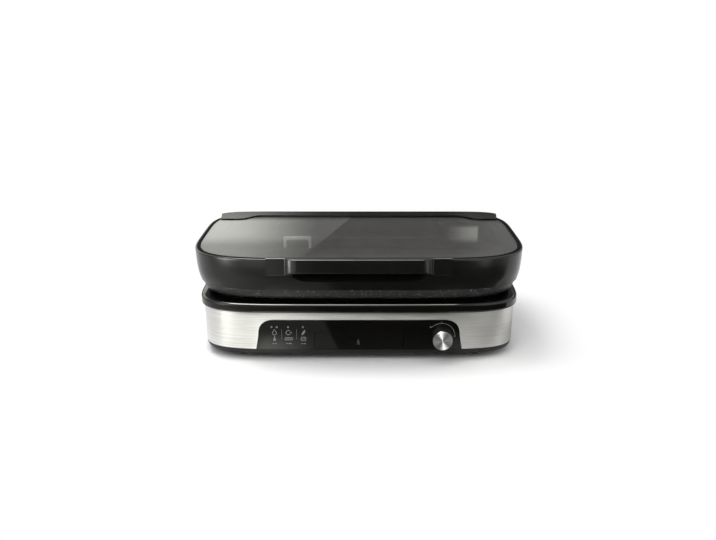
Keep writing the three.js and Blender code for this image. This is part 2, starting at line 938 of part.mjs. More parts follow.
// Heat reflector under the plate, with holes for the drain and the element's ends
function makeReflector() {
  const flangeTop = z.reflectorFlange + reflector.sheet;
  const edge = rim.topWidth + reflector.topGap;
  const throat = rim.topWidth + rim.ledgeWidth + reflector.topGap;
  const floorTop = z.reflectorFloor + reflector.sheet;
  let body = solid(
    loft([
      baseLevel(reflector.floorInset, z.reflectorFloor),
      baseLevel(throat, z.reflectorFlange),
      baseLevel(edge, z.reflectorFlange),
      baseLevel(edge, flangeTop),
      baseLevel(throat + reflector.sheet, flangeTop),
      baseLevel(reflector.floorInset + reflector.sheet, floorTop),
    ]),
  );
  const hole = rod("z", drain.reflectorRadius, 2 * overrun, 0, drainPlace(), z.reflectorFloor);
  body = body.subtract(solid(hole));
  flanks.forEach((side) => {
    const x = side.sign * element.endX;
    const through = rod("y", insulator.radius + clear, baseHalfDepth, x, elementEndY, z.element);
    body = body.subtract(solid(through));
  });
  addPiece(baseGroup, "heat_reflector", shapeOf(body), finish(0xb4b4b2, 0.4, 1));
}

// Tube element: one run from the left end round to the right end, with round corners
function makeElement() {
  const places = [
    [-element.endX, elementEndY],
    [-element.endX, element.midY],
    [-element.innerX, element.midY],
    [-element.innerX, elementSideY],
    [-elementOuterX, elementSideY],
    [-elementOuterX, -elementSideY],
    [elementOuterX, -elementSideY],
    [elementOuterX, elementSideY],
    [element.innerX, elementSideY],
    [element.innerX, element.midY],
    [element.endX, element.midY],
    [element.endX, elementEndY],
  ].map(([x, y]) => new THREE.Vector3(x, y, z.element));
  const path = new THREE.CurvePath();
  let from = places[0];
  for (let i = 1; i < places.length - 1; i += 1) {
    const corner = places[i];
    const inward = corner.clone().sub(places[i - 1]).setLength(element.cornerRadius);
    const outward = places[i + 1].clone().sub(corner).setLength(element.cornerRadius);
    const start = corner.clone().sub(inward);
    const end = corner.clone().add(outward);
    path.add(new THREE.LineCurve3(from, start));
    path.add(new THREE.QuadraticBezierCurve3(start, corner, end));
    from = end;
  }
  path.add(new THREE.LineCurve3(from, places[places.length - 1]));
  const section = new THREE.Shape();
  section.absarc(0, 0, element.radius, 0, 2 * Math.PI);
  const ring = new THREE.Shape(section.getSpacedPoints(element.sides).slice(0, element.sides));
  const tube = new THREE.ExtrudeGeometry(ring, { steps: element.steps, extrudePath: path });
  addPiece(baseGroup, "heating_element", tube, finish(0x4c4a47, 0.5, 0.8));
  const boreRadius = element.radius + clear;
  const wallY = baseHalfDepth - rim.topWidth - rim.ledgeWidth - reflector.topGap;
  flanks.forEach((side) => {
    const bead = solid(rod("y", insulator.radius, insulator.length, 0, 0, 0, smallSteps));
    const bore = solid(rod("y", boreRadius, insulator.length + overrun, 0, 0, 0, smallSteps));
    const mesh = addPiece(
      baseGroup,
      "element_insulator_" + side.name,
      shapeOf(bead.subtract(bore)),
      finish(0xe8e2d4, 0.6),
    );
    mesh.position.set(side.sign * element.endX, wallY, z.element);
  });
  // Upright brackets with a saddle at each end carry the two long runs
  const floorTop = z.reflectorFloor + reflector.sheet;
  const reach = elementSideY + bracket.overhang;
  const bracketX = (element.innerX + elementOuterX) / 2;
  flanks.forEach((side) => {
    const half = bracket.thickness / 2;
    const sheet = solid(block(-half, half, -reach, reach, floorTop, z.element));
    const window = elementSideY - bracket.window;
    const cutLow = floorTop + element.radius;
    const cut = block(-overrun, overrun, -window, window, cutLow, z.element + overrun);
    let body = sheet.subtract(solid(cut));
    [-1, 1].forEach((sign) => {
      const saddle = rod("x", boreRadius, 2 * overrun, 0, sign * elementSideY, z.element);
      body = body.subtract(solid(saddle));
    });
    const mesh = addPiece(baseGroup, "element_bracket_" + side.name, shapeOf(body), steel());
    mesh.position.set(side.sign * bracketX, 0, 0);
  });
}

// Sensor cup that reaches up to the plate, and the fuse under the reflector
function makeSensorAndFuse() {
  const floorTop = z.reflectorFloor + reflector.sheet;
  const height = z.plateUnder - clear - floorTop;
  const cup = addPiece(
    baseGroup,
    "temperature_sensor",
    turned(
      [
        [0, 0],
        [sensor.flangeRadius, 0],
        [sensor.flangeRadius, sensor.flangeHeight],
        [sensor.radius, sensor.flangeHeight],
        [sensor.radius, height],
        [0, height],
      ],
      smallSteps,
    ),
    finish(0xc2c2bf, 0.3, 1),
  );
  cup.position.set(0, sensor.y, floorTop);
  const fuseMesh = addPiece(
    baseGroup,
    "thermal_fuse",
    rod("x", fuse.radius, fuse.length, 0, 0, 0, smallSteps),
    finish(0xd8c9a0, 0.5),
  );
  fuseMesh.position.set(fuse.x, fuse.y, z.reflectorFloor - clear - fuse.radius);
}

// Power board with a relay and a capacitor, terminal block and cord gland
function makeElectrics() {
  const halfWidth = powerBoard.width / 2;
  const halfDepth = powerBoard.depth / 2;
  const top = powerBoard.thickness;
  const relayX = -halfWidth + relay.fromX;
  const relayY = -halfDepth + relay.fromY;
  const relayShape = block(
    relayX - relay.width / 2,
    relayX + relay.width / 2,
    relayY - relay.depth / 2,
    relayY + relay.depth / 2,
    0,
    top + relay.height,
  );
  const canShape = rod(
    "z",
    capacitor.radius,
    capacitor.height + top,
    halfWidth - capacitor.fromX,
    halfDepth - capacitor.fromY,
    (capacitor.height + top) / 2,
  );
  const sheet = solid(block(-halfWidth, halfWidth, -halfDepth, halfDepth, 0, top));
  const body = sheet.add(solid(relayShape)).add(solid(canShape));
  const boardMesh = addPiece(baseGroup, "power_board", shapeOf(body), board());
  boardMesh.position.set(powerBoardX, powerBoardY, z.panFloor + powerBoard.standoff + clear);
  const stripHalf = terminal.width / 2;
  const stripDeep = terminal.depth / 2;
  let strip = solid(block(-stripHalf, stripHalf, -stripDeep, stripDeep, 0, terminal.height));
  for (let i = 0; i < terminal.ways; i += 1) {
    const x = ((i + 0.5) / terminal.ways - 0.5) * terminal.width;
    const wellLength = terminal.wellDepth + overrun;
    const wellMiddle = terminal.height - terminal.wellDepth + wellLength / 2;
    const well = rod("z", terminal.wellRadius, wellLength, x, 0, wellMiddle, smallSteps);
    strip = strip.subtract(solid(well));
  }
  const stripMesh = addPiece(baseGroup, "terminal_block", shapeOf(strip), finish(0xd9d6cc, 0.6));
  stripMesh.position.set(
    gland.x + terminal.besideGland,
    baseHalfDepth - terminal.rearInset,
    z.panFloor + clear,
  );
  const flange = gland.flangeRadius;
  const glandMesh = addPiece(
    baseGroup,
    "cord_gland",
    turned([
      [gland.bore, -gland.innerLength],
      [gland.radius, -gland.innerLength],
      [gland.radius, clear],
      [flange, clear],
      [flange, gland.flangeHeight / 2],
      [flange - gland.flangeHeight / 2, gland.flangeHeight],
      [gland.bore, gland.flangeHeight],
      [gland.bore, -gland.innerLength],
    ]),
    rubber(),
  );
  glandMesh.position.set(gland.x, -bandY(gland.x, glandHeight()), glandHeight());
  glandMesh.rotation.x = -Math.PI / 2 - bandTilt;
}

// Hinges: bracket, pin and bush on each side, and the arm on the lid
function lidWallY(height) {
  return lid.halfDepth - insetAt(lidWallLevels(), height);
}

function insetAt(levels, height) {
  for (let i = 1; i < levels.length; i += 1) {
    const [insetLow, low] = levels[i - 1];
    const [insetHigh, high] = levels[i];
    if (height <= high) {
      return insetLow + ((insetHigh - insetLow) * (height - low)) / (high - low);
    }
  }
  return levels[levels.length - 1][0];
}

function lidWallLevels() {
  return [
    [lid.bottomInset, z.lidBottom],
    [lid.lowInset, z.plateTop + lid.lowHeight],
    [lid.midInset, z.plateTop + lid.midHeight],
    [0, z.plateTop + lid.shoulderHeight],
  ];
}

function lidInnerLevels() {
  return [
    [lid.bottomInset + lid.wall, z.lidBottom],
    [lid.lowInset + lid.wall, z.plateTop + lid.lowHeight],
    [lid.midInset + lid.wall, z.lidLedge - 2 * lid.ledgeThickness],
  ];
}

function makeHinges() {
  const half = hinge.knuckle / 2;
  const slot = half + hinge.sideGap;
  const outer = slot + hinge.cheek;
  const pinHole = hinge.pinRadius + running;
  const footTop = z.rimTop + clear + hinge.footThickness;
  const rearY = pivotY + hinge.barrelRadius;
  const pillarY = lid.halfDepth - plate.topInset + hinge.pillarGap;
  const footY = baseHalfDepth - hinge.footDepth;
  const legY = baseHalfDepth + clear;
  const bracketShape = new THREE.Shape();
  bracketShape.moveTo(footY, z.rimTop + clear);
  bracketShape.lineTo(legY, z.rimTop + clear);
  bracketShape.lineTo(legY, z.rimTop - hinge.legLength);
  bracketShape.lineTo(legY + hinge.legThickness, z.rimTop - hinge.legLength);
  bracketShape.lineTo(rearY, z.rimTop - hinge.legThickness);
  bracketShape.lineTo(rearY, z.pivot);
  bracketShape.absarc(pivotY, z.pivot, hinge.barrelRadius, 0, Math.PI, false);
  bracketShape.lineTo(pillarY, footTop);
  bracketShape.lineTo(footY, footTop);
  const armTop = z.lidBottom + arm.top;
  const armMid = z.lidBottom + arm.waist;
  const armLow = z.lidBottom + clear;
  const screwZ = z.lidBottom + arm.screwHeight;
  const wallGap = clear + arm.thickness;
  const spread = hinge.barrelRadius * Math.SQRT1_2;
  const armShape = polygon([
    [pivotY - spread, z.pivot + spread],
    [pivotY, z.pivot],
    [pivotY + spread, z.pivot + spread],
    [lidWallY(armMid) + wallGap + clear, armMid],
    [lidWallY(armTop) + wallGap, armTop],
    [lidWallY(armTop) + clear, armTop],
    [lidWallY(armMid) + 2 * clear, armMid],
    [lidWallY(armLow) + 2 * clear, armLow],
  ]);
  flanks.forEach((side) => {
    const x = side.sign * hingeX;
    const slotTop = z.pivot + 3 * overrun;
    const cut = block(x - slot, x + slot, pillarY - overrun, rearY + overrun, footTop, slotTop);
    const bore = rod("x", pinHole, 2 * outer + overrun, x, pivotY, z.pivot);
    const towers = solid(lateral(bracketShape, x - outer, x + outer)).subtract(solid(cut));
    const bracketBody = towers.subtract(solid(bore));
    addPiece(baseGroup, "hinge_bracket_" + side.name, shapeOf(bracketBody), blackPlastic());
    const pin = addPiece(
      baseGroup,
      "hinge_pin_" + side.name,
      rod("x", hinge.pinRadius, 2 * outer, 0, 0, 0),
      steel(),
    );
    pin.position.set(x, pivotY, z.pivot);
    const barrel = solid(rod("x", hinge.barrelRadius, hinge.knuckle, x, pivotY, z.pivot));
    const bushSeat = rod("x", hinge.bushRadius + clear, 2 * hinge.knuckle, x, pivotY, z.pivot);
    const holeRadius = screw.shankRadius + clear;
    const screwHole = rod("y", holeRadius, 4 * overrun, x, lidWallY(screwZ), screwZ, smallSteps);
    const strap = solid(lateral(armShape, x - half, x + half)).add(barrel);
    const armBody = strap.subtract(solid(bushSeat)).subtract(solid(screwHole));
    addPiece(lidGroup, "hinge_arm_" + side.name, shapeOf(armBody), steel());
    const ring = solid(rod("x", hinge.bushRadius, hinge.knuckle, 0, 0, 0));
    const ringBore = solid(rod("x", pinHole, 2 * hinge.knuckle, 0, 0, 0));
    const bush = addPiece(
      lidGroup,
      "hinge_bush_" + side.name,
      shapeOf(ring.subtract(ringBore)),
      finish(0xcfcabb, 0.5),
    );
    bush.position.set(x, pivotY, z.pivot);
    const headY = lidWallY(screwZ + screw.headRadius) + wallGap + 2 * clear;
    const armScrew = addPiece(
      lidGroup,
      "arm_screw_" + side.name,
      turned(
        [
          [0, -arm.screwLength],
          [screw.shankRadius, -arm.screwLength],
          [screw.shankRadius, 0],
          [screw.headRadius, 0],
          [screw.headRadius, screw.headHeight / 2],
          [screw.headRadius - screw.headHeight / 2, screw.headHeight],
          [0, screw.headHeight],
        ],
        smallSteps,
      ),
      steel(),
    );
    armScrew.position.set(x, headY, screwZ);
    armScrew.rotation.x = -Math.PI / 2;
  });
}

// Lid frame: leaning walls, a ledge for the glass and a finger pocket behind the grip
function makeLidFrame() {
  const lipTop = z.glassTop - lid.lipDrop;
  const ledgeInset = lid.lipWidth + lid.ledgeWidth;
  const outside = lidWallLevels().map(([inset, height]) => lidLevel(inset, height));
  const ledge = [
    lidLevel(lid.edgeBevel, lipTop),
    lidLevel(lid.lipWidth, lipTop),
    lidLevel(lid.lipWidth, z.lidLedge),
    lidLevel(ledgeInset, z.lidLedge),
    lidLevel(ledgeInset, z.lidLedge - lid.ledgeThickness),
  ];
  const inside = lidInnerLevels().map(([inset, height]) => lidLevel(inset, height));
  let body = solid(loft([...outside, ...ledge, ...inside.reverse()], true));
  body = body.add(pocketSolid(pocket.wall).intersect(lidCore(-clear / 2)));
  body = body.subtract(pocketSolid(0));
  flanks.forEach((side) => {
    const x = side.sign * hingeX;
    const holeZ = z.lidBottom + arm.screwHeight;
    const hole = rod("y", screw.shankRadius + clear, 4 * overrun, x, lid.halfDepth, holeZ, smallSteps);
    const gripHole = rod(
      "y",
      gripScrew.shankRadius + clear,
      4 * overrun,
      side.sign * gripScrewX,
      -lid.halfDepth,
      gripScrewHeight(),
      smallSteps,
    );
    body = body.subtract(solid(hole)).subtract(solid(gripHole));
  });
  addPiece(lidGroup, "lid_frame", shapeOf(body), blackPlastic());
}

function gripScrewHeight() {
  return z.glassTop - gripScrew.below;
}

// The lid wall's inner face at an x and a height, as a distance from the middle
function lidInnerY(x, height) {
  const inset = insetAt(lidInnerLevels(), height);
  const share = Math.abs(x) / (lid.halfWidth - inset);
  return (lid.halfDepth - inset) * (1 - share ** lidPower) ** (1 / lidPower);
}

// Everything inside the lid's outer face, from below its edge to the top of the seal, grown all round
function lidCore(grow) {
  const wall = lidWallLevels().map(([inset, height]) => lidLevel(inset - grow, height));
  const below = lidLevel(lid.bottomInset - grow, z.lidBottom - overrun);
  const shoulder = lidLevel(lid.edgeBevel - grow, z.glassTop - lid.lipDrop + grow);
  const lip = lidLevel(lid.lipWidth - grow, z.glassTop - lid.lipDrop + grow);
  const top = lidLevel(lid.lipWidth - grow, z.glassTop + seal.proud + grow);
  return solid(loft([below, ...wall, shoulder, lip, top]));
}

function pocketSolid(grow) {
  const low = z.plateTop + pocket.bottom - grow;
  const high = z.plateTop + pocket.top + grow;
  const back = -lid.halfDepth + pocket.depth + grow;
  const front = -lid.halfDepth - overrun;
  const section = polygon([
    [front, low - pocket.slope],
    [back, low + pocket.slope],
    [back, high],
    [front, high],
  ]);
  const halfWidth = grip.faceHalfWidth - pocket.sideGap + grow;
  return solid(lateral(section, -halfWidth, halfWidth));
}

function makeGlass() {
  const sealOut = lid.lipWidth + clear;
  const sealIn = sealOut + seal.width;
  const glassInset = sealIn + clear;
  const pane = loft([lidLevel(glassInset, z.glassUnder), lidLevel(glassInset, z.glassTop)]);
  addPiece(lidGroup, "lid_glass", pane, finish(0x3c3f3d, 0.05));
  const hoop = loft(
    [
      lidLevel(sealOut, z.lidLedge + clear),
      lidLevel(sealOut, z.glassTop + seal.proud),
      lidLevel(sealIn, z.glassTop + seal.proud),
      lidLevel(sealIn, z.lidLedge + clear),
    ],
    true,
  );
  addPiece(lidGroup, "glass_seal", hoop, rubber());
  const edge = lid.lipWidth + lid.ledgeWidth + clear;
  const inner = {
    halfWidth: lid.halfWidth - edge - retainer.width,
    halfDepth: lid.halfDepth - edge - (retainer.width + retainer.frontWidth) / 2,
    shift: (retainer.frontWidth - retainer.width) / 2,
    power: lidPower,
  };
  const top = z.glassUnder - clear;
  const low = top - retainer.thickness;
  const frame = loft(
    [lidLevel(edge, low), lidLevel(edge, top), { ...inner, height: top }, { ...inner, height: low }],
    true,
  );
  addPiece(lidGroup, "glass_retainer", frame, blackPlastic());
}

// Cover strip over the rear edge of the lid, with a rounded back and a short skirt
function makeHingeCover() {
  const outset = -cover.outset;
  const skirtTop = z.coverTop - cover.skirtTop;
  const whole = solid(
    loft([
      lidLevel(outset, skirtTop - cover.skirt, coverPower),
      lidLevel(outset, skirtTop, coverPower),
      lidLevel(outset + cover.roundInset, z.coverTop - cover.roundDrop, coverPower),
      lidLevel(outset + cover.flatInset, z.coverTop, coverPower),
    ]),
  );
  const far = lid.halfDepth + overrun;
  const halfLength = lid.halfWidth - cover.sideInset;
  const bendEnd = halfLength - cover.endLength;
  const bendStart = bendEnd - cover.bendLength;
  const bendMiddle = (bendStart + bendEnd) / 2;
  const endY = lid.halfDepth - cover.endWidth;
  const midY = lid.halfDepth - cover.midWidth;
  const plan = new THREE.Shape();
  plan.moveTo(-halfLength, far);
  plan.lineTo(-halfLength, endY);
  plan.lineTo(-bendEnd, endY);
  plan.bezierCurveTo(-bendMiddle, endY, -bendMiddle, midY, -bendStart, midY);
  plan.lineTo(bendStart, midY);
  plan.bezierCurveTo(bendMiddle, midY, bendMiddle, endY, bendEnd, endY);
  plan.lineTo(halfLength, endY);
  plan.lineTo(halfLength, far);
  const region = solid(raised(plan, skirtTop - cover.skirt - overrun, z.coverTop + overrun));
  const body = whole.intersect(region).subtract(lidCore(clear));
  addPiece(lidGroup, "hinge_cover", shapeOf(body), blackPlastic());
}

// Front grip: a hollow lip with flared ends, cut to the lid's wall
function makeGrip() {
  const face = -(lid.halfDepth + grip.reach);
  const wall = -lid.halfDepth;
  const half = grip.faceHalfWidth;
  const corner = half + grip.cornerWidth;
  const flare = corner + grip.flareWidth;
  const middle = (face + wall) / 2;
  const back = wall + grip.root;
  const plan = new THREE.Shape();
  plan.moveTo(-flare, back);
  plan.lineTo(-flare, wall);
  plan.quadraticCurveTo(-corner - grip.cornerWidth / 2, wall, -corner, middle);
  plan.quadraticCurveTo(-corner + grip.cornerWidth / 2, face, -half, face);
  plan.lineTo(half, face);
  plan.quadraticCurveTo(corner - grip.cornerWidth / 2, face, corner, middle);
  plan.quadraticCurveTo(corner + grip.cornerWidth / 2, wall, flare, wall);
  plan.lineTo(flare, back);
  const top = z.glassTop + grip.rise;
  const low = top - grip.height;
  const outside = solid(raised(plan, low, top));
  const hollow = block(
    -half,
    half,
    face + grip.wall,
    wall + overrun,
    low - overrun,
    top - grip.roof,
  );
  const wedge = polygon([
    [wall + overrun, low - overrun],
    [wall, low],
    [face, low + grip.undercut],
    [face - overrun, low + grip.undercut],
    [face - overrun, low - overrun],
  ]);
  const undercut = lateral(wedge, -flare - overrun, flare + overrun);
  let body = outside.subtract(solid(hollow)).subtract(solid(undercut)).subtract(lidCore(clear));
  const screwZ = gripScrewHeight();
  const seat = 2 * clear - lidInnerY(gripScrewX + gripScrew.headRadius, screwZ - gripScrew.headRadius);
  flanks.forEach((side) => {
    const x = side.sign * gripScrewX;
    const holeRadius = gripScrew.shankRadius + clear;
    const hole = rod("y", holeRadius, 2 * gripScrew.length, x, seat, screwZ, smallSteps);
    body = body.subtract(solid(hole));
    const mesh = addPiece(
      lidGroup,
      "grip_screw_" + side.name,
      turned(
        [
          [0, clear - gripScrew.length],
          [gripScrew.shankRadius, clear - gripScrew.length],
          [gripScrew.shankRadius, 0],
          [gripScrew.headRadius, 0],
          [gripScrew.headRadius, gripScrew.headHeight],
          [0, gripScrew.headHeight],
        ],
        smallSteps,
      ),
      steel(),
    );
    mesh.position.set(x, seat, screwZ);
    mesh.rotation.x = -Math.PI / 2;
  });
  addPiece(lidGroup, "lid_grip", shapeOf(body), blackPlastic());
}

makePan();
makeBand();
makeRim();
makeFeetAndScrews();
makeControlPanel();
makeKnob();
makeTray();
makePlate();
makeReflector();
makeElement();
makeSensorAndFuse();
makeElectrics();
makeHinges();
makeLidFrame();
makeGlass();
makeHingeCover();
makeGrip();

// The frame's origin is under the middle of the object's box
const frontY = -(lid.halfDepth + grip.reach);
const rearY = pivotY + hinge.barrelRadius;
grill.position.y = -(frontY + rearY) / 2;

export default grill;
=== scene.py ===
import json
import math

import bmesh
import bpy
from mathutils import Matrix, Vector


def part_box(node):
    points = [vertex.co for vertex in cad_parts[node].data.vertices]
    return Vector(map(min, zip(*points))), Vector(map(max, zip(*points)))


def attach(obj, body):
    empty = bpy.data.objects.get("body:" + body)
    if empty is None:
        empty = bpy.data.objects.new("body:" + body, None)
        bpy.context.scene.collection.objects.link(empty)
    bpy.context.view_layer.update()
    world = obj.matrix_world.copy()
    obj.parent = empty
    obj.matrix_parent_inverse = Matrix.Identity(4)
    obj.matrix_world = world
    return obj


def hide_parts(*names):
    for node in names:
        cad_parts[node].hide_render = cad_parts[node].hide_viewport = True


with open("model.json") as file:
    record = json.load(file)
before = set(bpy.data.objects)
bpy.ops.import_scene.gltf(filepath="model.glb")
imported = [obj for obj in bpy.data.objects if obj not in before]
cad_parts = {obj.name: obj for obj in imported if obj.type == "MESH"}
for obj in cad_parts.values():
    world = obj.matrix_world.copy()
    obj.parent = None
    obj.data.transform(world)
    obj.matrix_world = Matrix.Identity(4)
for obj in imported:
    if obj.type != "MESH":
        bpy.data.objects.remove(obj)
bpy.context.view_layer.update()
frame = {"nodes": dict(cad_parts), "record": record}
mm = 0.001
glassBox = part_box("lid_glass")
middleY = (glassBox[0][1] + glassBox[1][1]) / 2  # the lid's middle in the shared frame, in metres
print("frame loaded:", len(frame["nodes"]), "nodes")


# Nodes and wires

class Wire:
    # a node's output; sums, differences and products of wires add Math nodes
    def __init__(self, tree, socket):
        self.tree = tree
        self.socket = socket

    def operate(self, kind, *others, clamp=False):
        inputs = dict(enumerate((self, *others)))
        return outOf(self.tree, "ShaderNodeMath", inputs, operation=kind, use_clamp=clamp)

    def __add__(self, other):
        return self.operate("ADD", other)

    def __sub__(self, other):
        return self.operate("SUBTRACT", other)

    def __mul__(self, other):
        return self.operate("MULTIPLY", other)

    def ramp(self, start, end, low=0.0, high=1.0):
        ends = {"Value": self, "From Min": start, "From Max": end, "To Min": low, "To Max": high}
        return outOf(self.tree, "ShaderNodeMapRange", ends, interpolation_type="SMOOTHSTEP")


def plug(value, socket):
    if isinstance(value, Wire):
        value.tree.links.new(value.socket, socket)
    else:
        socket.default_value = value


def addNode(tree, kind, inputs=None, **settings):
    # the inputs are wires or plain values, by label or number
    node = tree.nodes.new(kind)
    for label, value in settings.items():
        setattr(node, label, value)
    for label, value in (inputs or {}).items():
        plug(value, node.inputs[label])
    return node


def outOf(tree, kind, inputs=None, output=0, **settings):
    return Wire(tree, addNode(tree, kind, inputs, **settings).outputs[output])


def wiresOf(tree, kind, inputs=None, **settings):
    return {socket.name: Wire(tree, socket) for socket in addNode(tree, kind, inputs, **settings).outputs}


def inScene(name, data):
    thing = bpy.data.objects.new(name, data)
    bpy.context.scene.collection.objects.link(thing)
    return thing


def newMaterial(name):
    mat = bpy.data.materials.new(name)
    mat.use_nodes = True
    return mat, mat.node_tree


def surfaceOf(tree):
    return tree.nodes["Material Output"].inputs["Surface"]


# Camera, floor and light

cameraSet = {
    "place": (0.0, -1.32315, 0.4459), "pitch": 15.19, "focalPixels": 927.6, "framePixels": 716,
    "sensor": 36.0, "rightPixels": 1.0, "clipEnd": 60,
}
cameraData = bpy.data.cameras.new("camera")
cameraData.sensor_width = cameraSet["sensor"]
cameraData.lens = cameraSet["focalPixels"] * cameraSet["sensor"] / cameraSet["framePixels"]
cameraData.shift_x = -cameraSet["rightPixels"] / cameraSet["framePixels"]
cameraData.clip_end = cameraSet["clipEnd"]
camera = inScene("camera", cameraData)
camera.location = cameraSet["place"]
camera.rotation_euler = (math.radians(90 - cameraSet["pitch"]), 0, 0)
bpy.context.scene.camera = camera
bpy.context.scene.view_settings.view_transform = "Standard"

studio = {
    "worldDiffuse": 0.62, "worldSeen": 1.0, "worldMirrored": 0.85,
    "floorHalf": 14.0, "floorColour": 0.8, "whiteFrom": 0.2, "whiteTo": 0.42,
}
lampAim = (0, 0, 0.08)
studioLamps = {
    "keyLamp": {"kind": "AREA", "place": (-0.45, 0.15, 1.5), "aim": lampAim, "mirrored": True,
                "settings": {"shape": "SQUARE", "size": 0.8, "energy": 15.0}},
    "fillLamp": {"kind": "AREA", "place": (-0.6, -1.4, 1.3), "aim": lampAim, "mirrored": False,
                 "settings": {"shape": "SQUARE", "size": 1.2, "energy": 7.0}},
    "tabLamp": {"kind": "SPOT", "place": (-0.3, -0.75, 1.05), "aim": (-0.0985, 0.125, 0.1),
                "mirrored": False, "settings": {"spot_size": math.radians(4.5), "spot_blend": 1.0,
                                                "shadow_soft_size": 0.02, "energy": 60.0}},
}


def flat(x0, x1, y0, y1, z):
    return [(x0, y0, z), (x1, y0, z), (x1, y1, z), (x0, y1, z)]


def upright(start, end, z0, z1):
    return [(*start, z0), (*end, z0), (*end, z1), (*start, z1)]


def makeWorld():
    world = bpy.data.worlds.new("studio")
    bpy.context.scene.world = world
    world.use_nodes = True
    tree = world.node_tree
    rays = wiresOf(tree, "ShaderNodeLightPath")
    straight = rays["Is Camera Ray"].operate("ADD", rays["Is Transmission Ray"], clamp=True)
    strength = straight * (studio["worldSeen"] - studio["worldDiffuse"]) + studio["worldDiffuse"]
    strength = rays["Is Glossy Ray"] * (studio["worldMirrored"] - studio["worldDiffuse"]) + strength
    background = tree.nodes["Background"]
    plug((1, 1, 1, 1), background.inputs["Color"])
    plug(strength, background.inputs["Strength"])


def stagedSheet(name, corners):
    mesh = bpy.data.meshes.new(name)
    mesh.from_pydata(corners, [], [(0, 1, 2, 3)])
    sheet = inScene(name, mesh)
    mat, tree = newMaterial(name)
    tree.nodes.remove(tree.nodes["Principled BSDF"])
    mesh.materials.append(mat)
    return sheet, tree


def makeFloor():
    half = studio["floorHalf"]
    floor, tree = stagedSheet("floor", flat(-half, half, -half, half, 0))
    rays = wiresOf(tree, "ShaderNodeLightPath")
    # camera, glossy and transmission rays see a white floor, others a grey one
    seen = rays["Is Camera Ray"].operate("ADD", rays["Is Glossy Ray"], clamp=True)
    seen = seen.operate("ADD", rays["Is Transmission Ray"], clamp=True)
    level = seen * (1.0 - studio["floorColour"]) + studio["floorColour"]
    colour = outOf(tree, "ShaderNodeCombineColor", {0: level, 1: level, 2: level})
    place = wiresOf(tree, "ShaderNodeTexCoord")["Object"]
    away = outOf(tree, "ShaderNodeVectorMath", {0: place}, "Value", operation="LENGTH")
    white = away.ramp(studio["whiteFrom"], studio["whiteTo"])
    paper = outOf(tree, "ShaderNodeBsdfDiffuse", {"Color": colour})
    glow = outOf(tree, "ShaderNodeEmission")
    plug(outOf(tree, "ShaderNodeMixShader", {0: white * seen, 1: paper, 2: glow}), surfaceOf(tree))


def makeLamp(name, given):
    data = bpy.data.lights.new(name, given["kind"])
    for label, value in given["settings"].items():
        setattr(data, label, value)
    lamp = inScene(name, data)
    lamp.location = given["place"]
    aim = Vector(given["aim"]) - Vector(given["place"])
    lamp.rotation_euler = aim.to_track_quat("-Z", "Y").to_euler()
    lamp.visible_glossy = given["mirrored"]


def makeCard(name, corners, glow):
    # only reflections see a card; its glow is a level, a ramp along x, or a function of x, y and z
    card, tree = stagedSheet(name, corners)
    place = wiresOf(tree, "ShaderNodeTexCoord")["Object"]
    x, y, z = wiresOf(tree, "ShaderNodeSeparateXYZ", {0: place}).values()
    strength = glow
    if callable(glow):
        strength = glow(x, y, z)
    elif isinstance(glow, tuple):
        strength = x.ramp(*glow)
    light = outOf(tree, "ShaderNodeEmission", {"Color": (1.0, 1.0, 0.94, 1), "Strength": strength})
    plug(light, surfaceOf(tree))
    for rays in ("visible_camera", "visible_diffuse", "visible_shadow", "visible_transmission"):
        setattr(card, rays, False)


# each ramp says where it starts and ends, and its levels there
frontGlow = {
    "edgeX": -0.0283, "edgeY": -0.178, "edgeSlope": 0.218, "edgeWidth": 0.003,
    "leftX": (-0.1, -0.3, 0.3, 0.8), "leftY": (-0.3, -0.37, 1.0, 0.45),
    "liftX": (-0.5, -0.38, 0.0, 1.0), "liftY": (-0.43, -0.51, 0.0, 2.8),
    "farStart": (-0.42, -0.56, 0.0, 18.0), "farEnd": (-0.66, -0.8, 1.0, 0.1),
    "farNear": (-0.38, -0.47, 0.0, 1.0), "farBack": (-0.6, -0.7, 1.0, 0.1),
    "right": (0.42, 0.58, 0.03, 0.63),
    "flankStart": (0.34, 0.4, 0.0, 1.8), "flankEnd": (0.48, 0.54, 1.0, 0.0),
    "flankY": (-0.38, -0.46, 0.0, 1.0),
    "nearLeftStart": (-0.05, -0.135, 0.0, 1.7), "nearLeftEnd": (-0.135, -0.165, 1.0, 0.0),
    "nearRightStart": (0.1, 0.14, 0.0, 0.5), "nearRightEnd": (0.16, 0.2, 1.0, 0.0),
    "nearLevel": 0.06, "nearY": (-0.25, -0.18, 0.0, 1.0),
}


def frontStrength(x, y, z):
    # pale at the left and at the far right, dark between, with a slanting edge left of the middle
    def ramp(axis, name):
        return axis.ramp(*frontGlow[name])

    slope, width = frontGlow["edgeSlope"], frontGlow["edgeWidth"]
    edge = (x - (y * slope + (frontGlow["edgeX"] - frontGlow["edgeY"] * slope))).ramp(-width, width)
    left = ramp(x, "leftX") * ramp(y, "leftY") * (ramp(y, "liftY") * ramp(x, "liftX") + 1.0)
    left = left + ramp(x, "farStart") * ramp(x, "farEnd") * ramp(y, "farNear") * ramp(y, "farBack")
    right = ramp(x, "right") + ramp(x, "flankStart") * ramp(x, "flankEnd") * ramp(y, "flankY")
    near = ramp(x, "nearLeftStart") * ramp(x, "nearLeftEnd")
    near = near + ramp(x, "nearRightStart") * ramp(x, "nearRightEnd")
    return (near + frontGlow["nearLevel"]) * ramp(y, "nearY") + (right - left) * edge + left


wallGlow = {"rise": (-0.85, -0.35, 0.3, 2.35), "fall": (-0.1, 0.36, 0.0, 1.85),
            "right": (0.5, 1.1, 0.0, 0.7)}


def wallStrength(x, y, z):
    return x.ramp(*wallGlow["rise"]) - x.ramp(*wallGlow["fall"]) + x.ramp(*wallGlow["right"])


